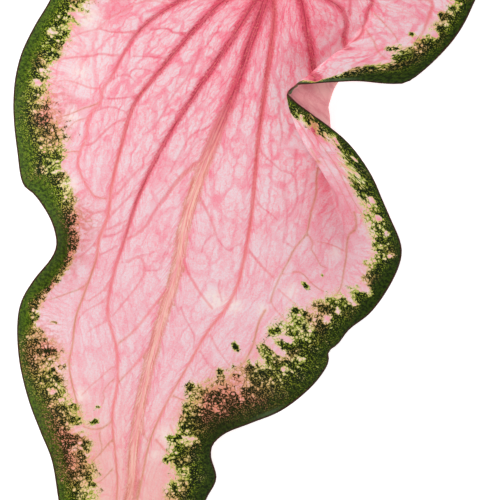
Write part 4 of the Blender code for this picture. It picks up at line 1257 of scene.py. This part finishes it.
def stalkSpine():
    low = stalk["topRadius"] - stalk["flat"]
    rise = blade["hubHeight"] - low
    angles = np.linspace(math.acos(1 - rise / stalk["bend"]), 0, 12)
    behind = stalk["run"][0][1] - stalk["bend"] * np.sin(angles)
    above = low + stalk["bend"] * (1 - np.cos(angles))
    bend = np.column_stack([np.zeros(len(angles)), behind, above])
    along = curve(stalk["run"], stalk["step"])[1:]
    level = np.linspace(stalk["topRadius"], stalk["cutRadius"], len(along)) - stalk["flat"]
    return np.vstack([bend, np.column_stack([along, level])])


def makeStalk(skin, cutFace):
    spine = stalkSpine()
    ahead = np.gradient(spine, axis=0)
    ahead /= np.linalg.norm(ahead, axis=1)[:, None]
    walked = np.concatenate([[0], np.cumsum(np.linalg.norm(np.diff(spine, axis=0), axis=1))])
    share = walked / walked[-1]
    radius = stalk["topRadius"] + (stalk["cutRadius"] - stalk["topRadius"]) * share
    radius = radius + stalk["flare"] * np.exp(-walked / stalk["flareLength"])
    side = np.cross(ahead, (0, 0, 1))
    side /= np.linalg.norm(side, axis=1)[:, None]
    up = np.cross(side, ahead)
    angle = 2 * math.pi * np.arange(stalk["sides"]) / stalk["sides"]
    ridge = 1 + stalk["ridgeDepth"] * np.cos(stalk["ridges"] * angle)
    ridge -= stalk["groove"] * np.exp(-((angle - math.pi / 2) / stalk["grooveWidth"]) ** 2)
    rings = []
    for centre, r, s, u, at in zip(spine, radius, side, up, walked):
        sway = 1 + stalk["unevenness"] * noise.noise(Vector((at / 9, 1.3, 0)))
        around = np.cos(angle)[:, None] * s + np.sin(angle)[:, None] * u
        ring = centre + r * sway * ridge[:, None] * around
        ring[:, 2] = np.clip(ring[:, 2], 0, blade["hubHeight"] + 0.3)
        rings.append(ring)
    # The cut end: its edge is rounded over a little, and the face dips in the middle
    last = rings[-1]
    middle = last.mean(axis=0)
    outward = ahead[-1]
    cuts = stalk["cutRings"]
    rings += [middle + (last - middle) * width + outward * out for width, out in cuts]
    count = stalk["sides"]
    faces = []
    for i in range(len(rings) - 1):
        for k in range(count):
            m = (k + 1) % count
            faces.append((i * count + k, i * count + m, (i + 1) * count + m, (i + 1) * count + k))
    total = len(rings) * count
    for k in range(count):
        m = (k + 1) % count
        faces.append((m, k, total))
        faces.append((total - count + k, total - count + m, total + 1))
    points = np.vstack(rings + [rings[0].mean(axis=0)[None], (middle + outward * 0.02)[None]])
    mesh = bpy.data.meshes.new("caladiumStalk")
    mesh.from_pydata(((points + np.array([*junction, 0])) * mm).tolist(), [], faces)
    mesh.materials.append(skin)
    mesh.materials.append(cutFace)
    bodyFaces = (len(rings) - len(cuts)) * count
    index = np.zeros(len(faces), np.int32)
    index[bodyFaces:] = 1
    index[[i for i, corners in enumerate(faces) if total in corners]] = 0
    mesh.polygons.foreach_set("material_index", index)
    around = np.tile(angle, len(rings))
    at = np.repeat([*walked, *[walked[-1]] * len(cuts)], count)
    inward = np.repeat([1] * len(spine) + [width for width, _ in cuts], count)
    stem = np.column_stack([np.cos(around), np.sin(around), at])
    giveField(mesh, "stem", np.vstack([stem, [[0, 0, 0], [0, 0, walked[-1]]]]))
    section = np.column_stack([np.cos(around) * inward, np.sin(around) * inward, inward])
    giveField(mesh, "section", np.vstack([section, [[0, 0, 0], [0, 0, 0]]]))
    return placed(mesh)


def makeStalkSkin():
    f = Finish("caladiumStalkSkin")
    stem = f.field("stem")
    _, _, at = f.parts(stem)
    streaks = f.cloud(f.scaled(stem, (5.0, 5.0, 0.06)), 1.0, 3, 0.6)
    flecks = f.cloud(f.scaled(stem, (6.0, 6.0, 0.5)), 1.0, 2)
    colour = f.mix(streaks.step(0.4, 0.62), stalkTints["tan"], stalkTints["brown"])
    colour = f.mix(flecks.step(0.56, 0.66) * 0.75, colour, stalkTints["fleck"])
    colour = f.mix(at.step(26, 2) * 0.7, colour, stalkTints["hub"])
    colour = f.mix(at.step(120, 180) * 0.4, colour, stalkTints["green"])
    height = streaks + flecks * 0.4
    return f.finishUp(colour, 0.42 + streaks * 0.15, height, 0.0002, Specular_IOR_Level=0.45)


def makeCutFace():
    f = Finish("caladiumCutFace")
    section = f.field("section")
    _, _, out = f.parts(section)
    dots = f.cells(f.scaled(section, (1, 1, 0)), 4.5, feature="F1").step(0.2, 0.1)
    colour = f.mix(out.step(0.72, 0.98), stalkTints["cutPith"], stalkTints["cutEdge"])
    colour = f.mix(dots * out.step(0.98, 0.8) * 0.7, colour, stalkTints["cutDots"])
    return f.finishUp(colour, 0.35 + dots * 0.1, dots, 0.0002, Specular_IOR_Level=0.5)


studio = {
    "height": 1.25,
    "acrossView": 0.18,
    "sensor": 36.0,
    "aim": (0.0211, -0.058),     # where the middle of the view meets the leaf
    "turn": 15.37,               # degrees that the midrib leans in the view
    "floorSize": 4.0,
    "floorGlow": 0.6,
    "sky": {"From Min": 0.35, "From Max": 0.95, "To Min": 0.95, "To Max": 0.12},
    "lampAim": (0, -0.05, 0),
    # name, place, width and power: a large soft lamp up on the left, a weaker one opposite
    "lamps": [("keyLamp", (-0.75, 0.35, 1.0), 0.9, 10.5), ("fillLamp", (0.8, -0.6, 0.9), 1.2, 4.5)],
}


def makeStudio():
    scene = bpy.context.scene
    scene.view_settings.view_transform = "Standard"
    camera = bpy.data.cameras.new("camera")
    camera.sensor_width = studio["sensor"]
    camera.lens = studio["sensor"] * (studio["height"] - 0.01) / studio["acrossView"]
    holder = bpy.data.objects.new("camera", camera)
    holder.location = (*studio["aim"], studio["height"])
    holder.rotation_euler = (0, 0, math.radians(studio["turn"]))
    scene.collection.objects.link(holder)
    scene.camera = holder

    half = studio["floorSize"] / 2
    mesh = bpy.data.meshes.new("floor")
    corners = [(-half, -half, 0), (half, -half, 0), (half, half, 0), (-half, half, 0)]
    mesh.from_pydata(corners, [], [(0, 1, 2, 3)])
    floor = bpy.data.objects.new("floor", mesh)
    scene.collection.objects.link(floor)
    white = Finish("floorWhite")
    white.surface.inputs["Base Color"].default_value = (0.92, 0.92, 0.92, 1)
    white.surface.inputs["Roughness"].default_value = 0.9
    white.surface.inputs["Emission Color"].default_value = (1, 1, 1, 1)
    white.surface.inputs["Emission Strength"].default_value = studio["floorGlow"]
    mesh.materials.append(white.made)

    # Bright near the horizon and dimmer overhead, so that the blade shows little glare from above
    world = bpy.data.worlds.new("studio")
    scene.world = world
    world.use_nodes = True
    tree = world.node_tree
    sky = tree.nodes["Background"]
    sky.inputs["Color"].default_value = (1, 1, 1, 1)
    direction = tree.nodes.new("ShaderNodeTexCoord")
    split = tree.nodes.new("ShaderNodeSeparateXYZ")
    fadeUp = tree.nodes.new("ShaderNodeMapRange")
    for name, value in studio["sky"].items():
        fadeUp.inputs[name].default_value = value
    tree.links.new(direction.outputs["Generated"], split.inputs[0])
    tree.links.new(split.outputs["Z"], fadeUp.inputs["Value"])
    tree.links.new(fadeUp.outputs["Result"], sky.inputs["Strength"])

    for name, place, size, power in studio["lamps"]:
        lamp = bpy.data.lights.new(name, "AREA")
        lamp.size, lamp.energy = size, power
        lit = bpy.data.objects.new(name, lamp)
        lit.location = place
        ahead = Vector(studio["lampAim"]) - Vector(place)
        lit.rotation_euler = ahead.to_track_quat("-Z", "Y").to_euler()
        scene.collection.objects.link(lit)
    print("studio ready")


makeStudio()
bladePiece = makeBlade(makeUpperSkin(), makeUnderSkin(), makeRimSkin())
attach(bladePiece, "root")
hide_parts("leaf_blade")
stalkPiece = makeStalk(makeStalkSkin(), makeCutFace())
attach(stalkPiece, "root")
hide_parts("petiole")
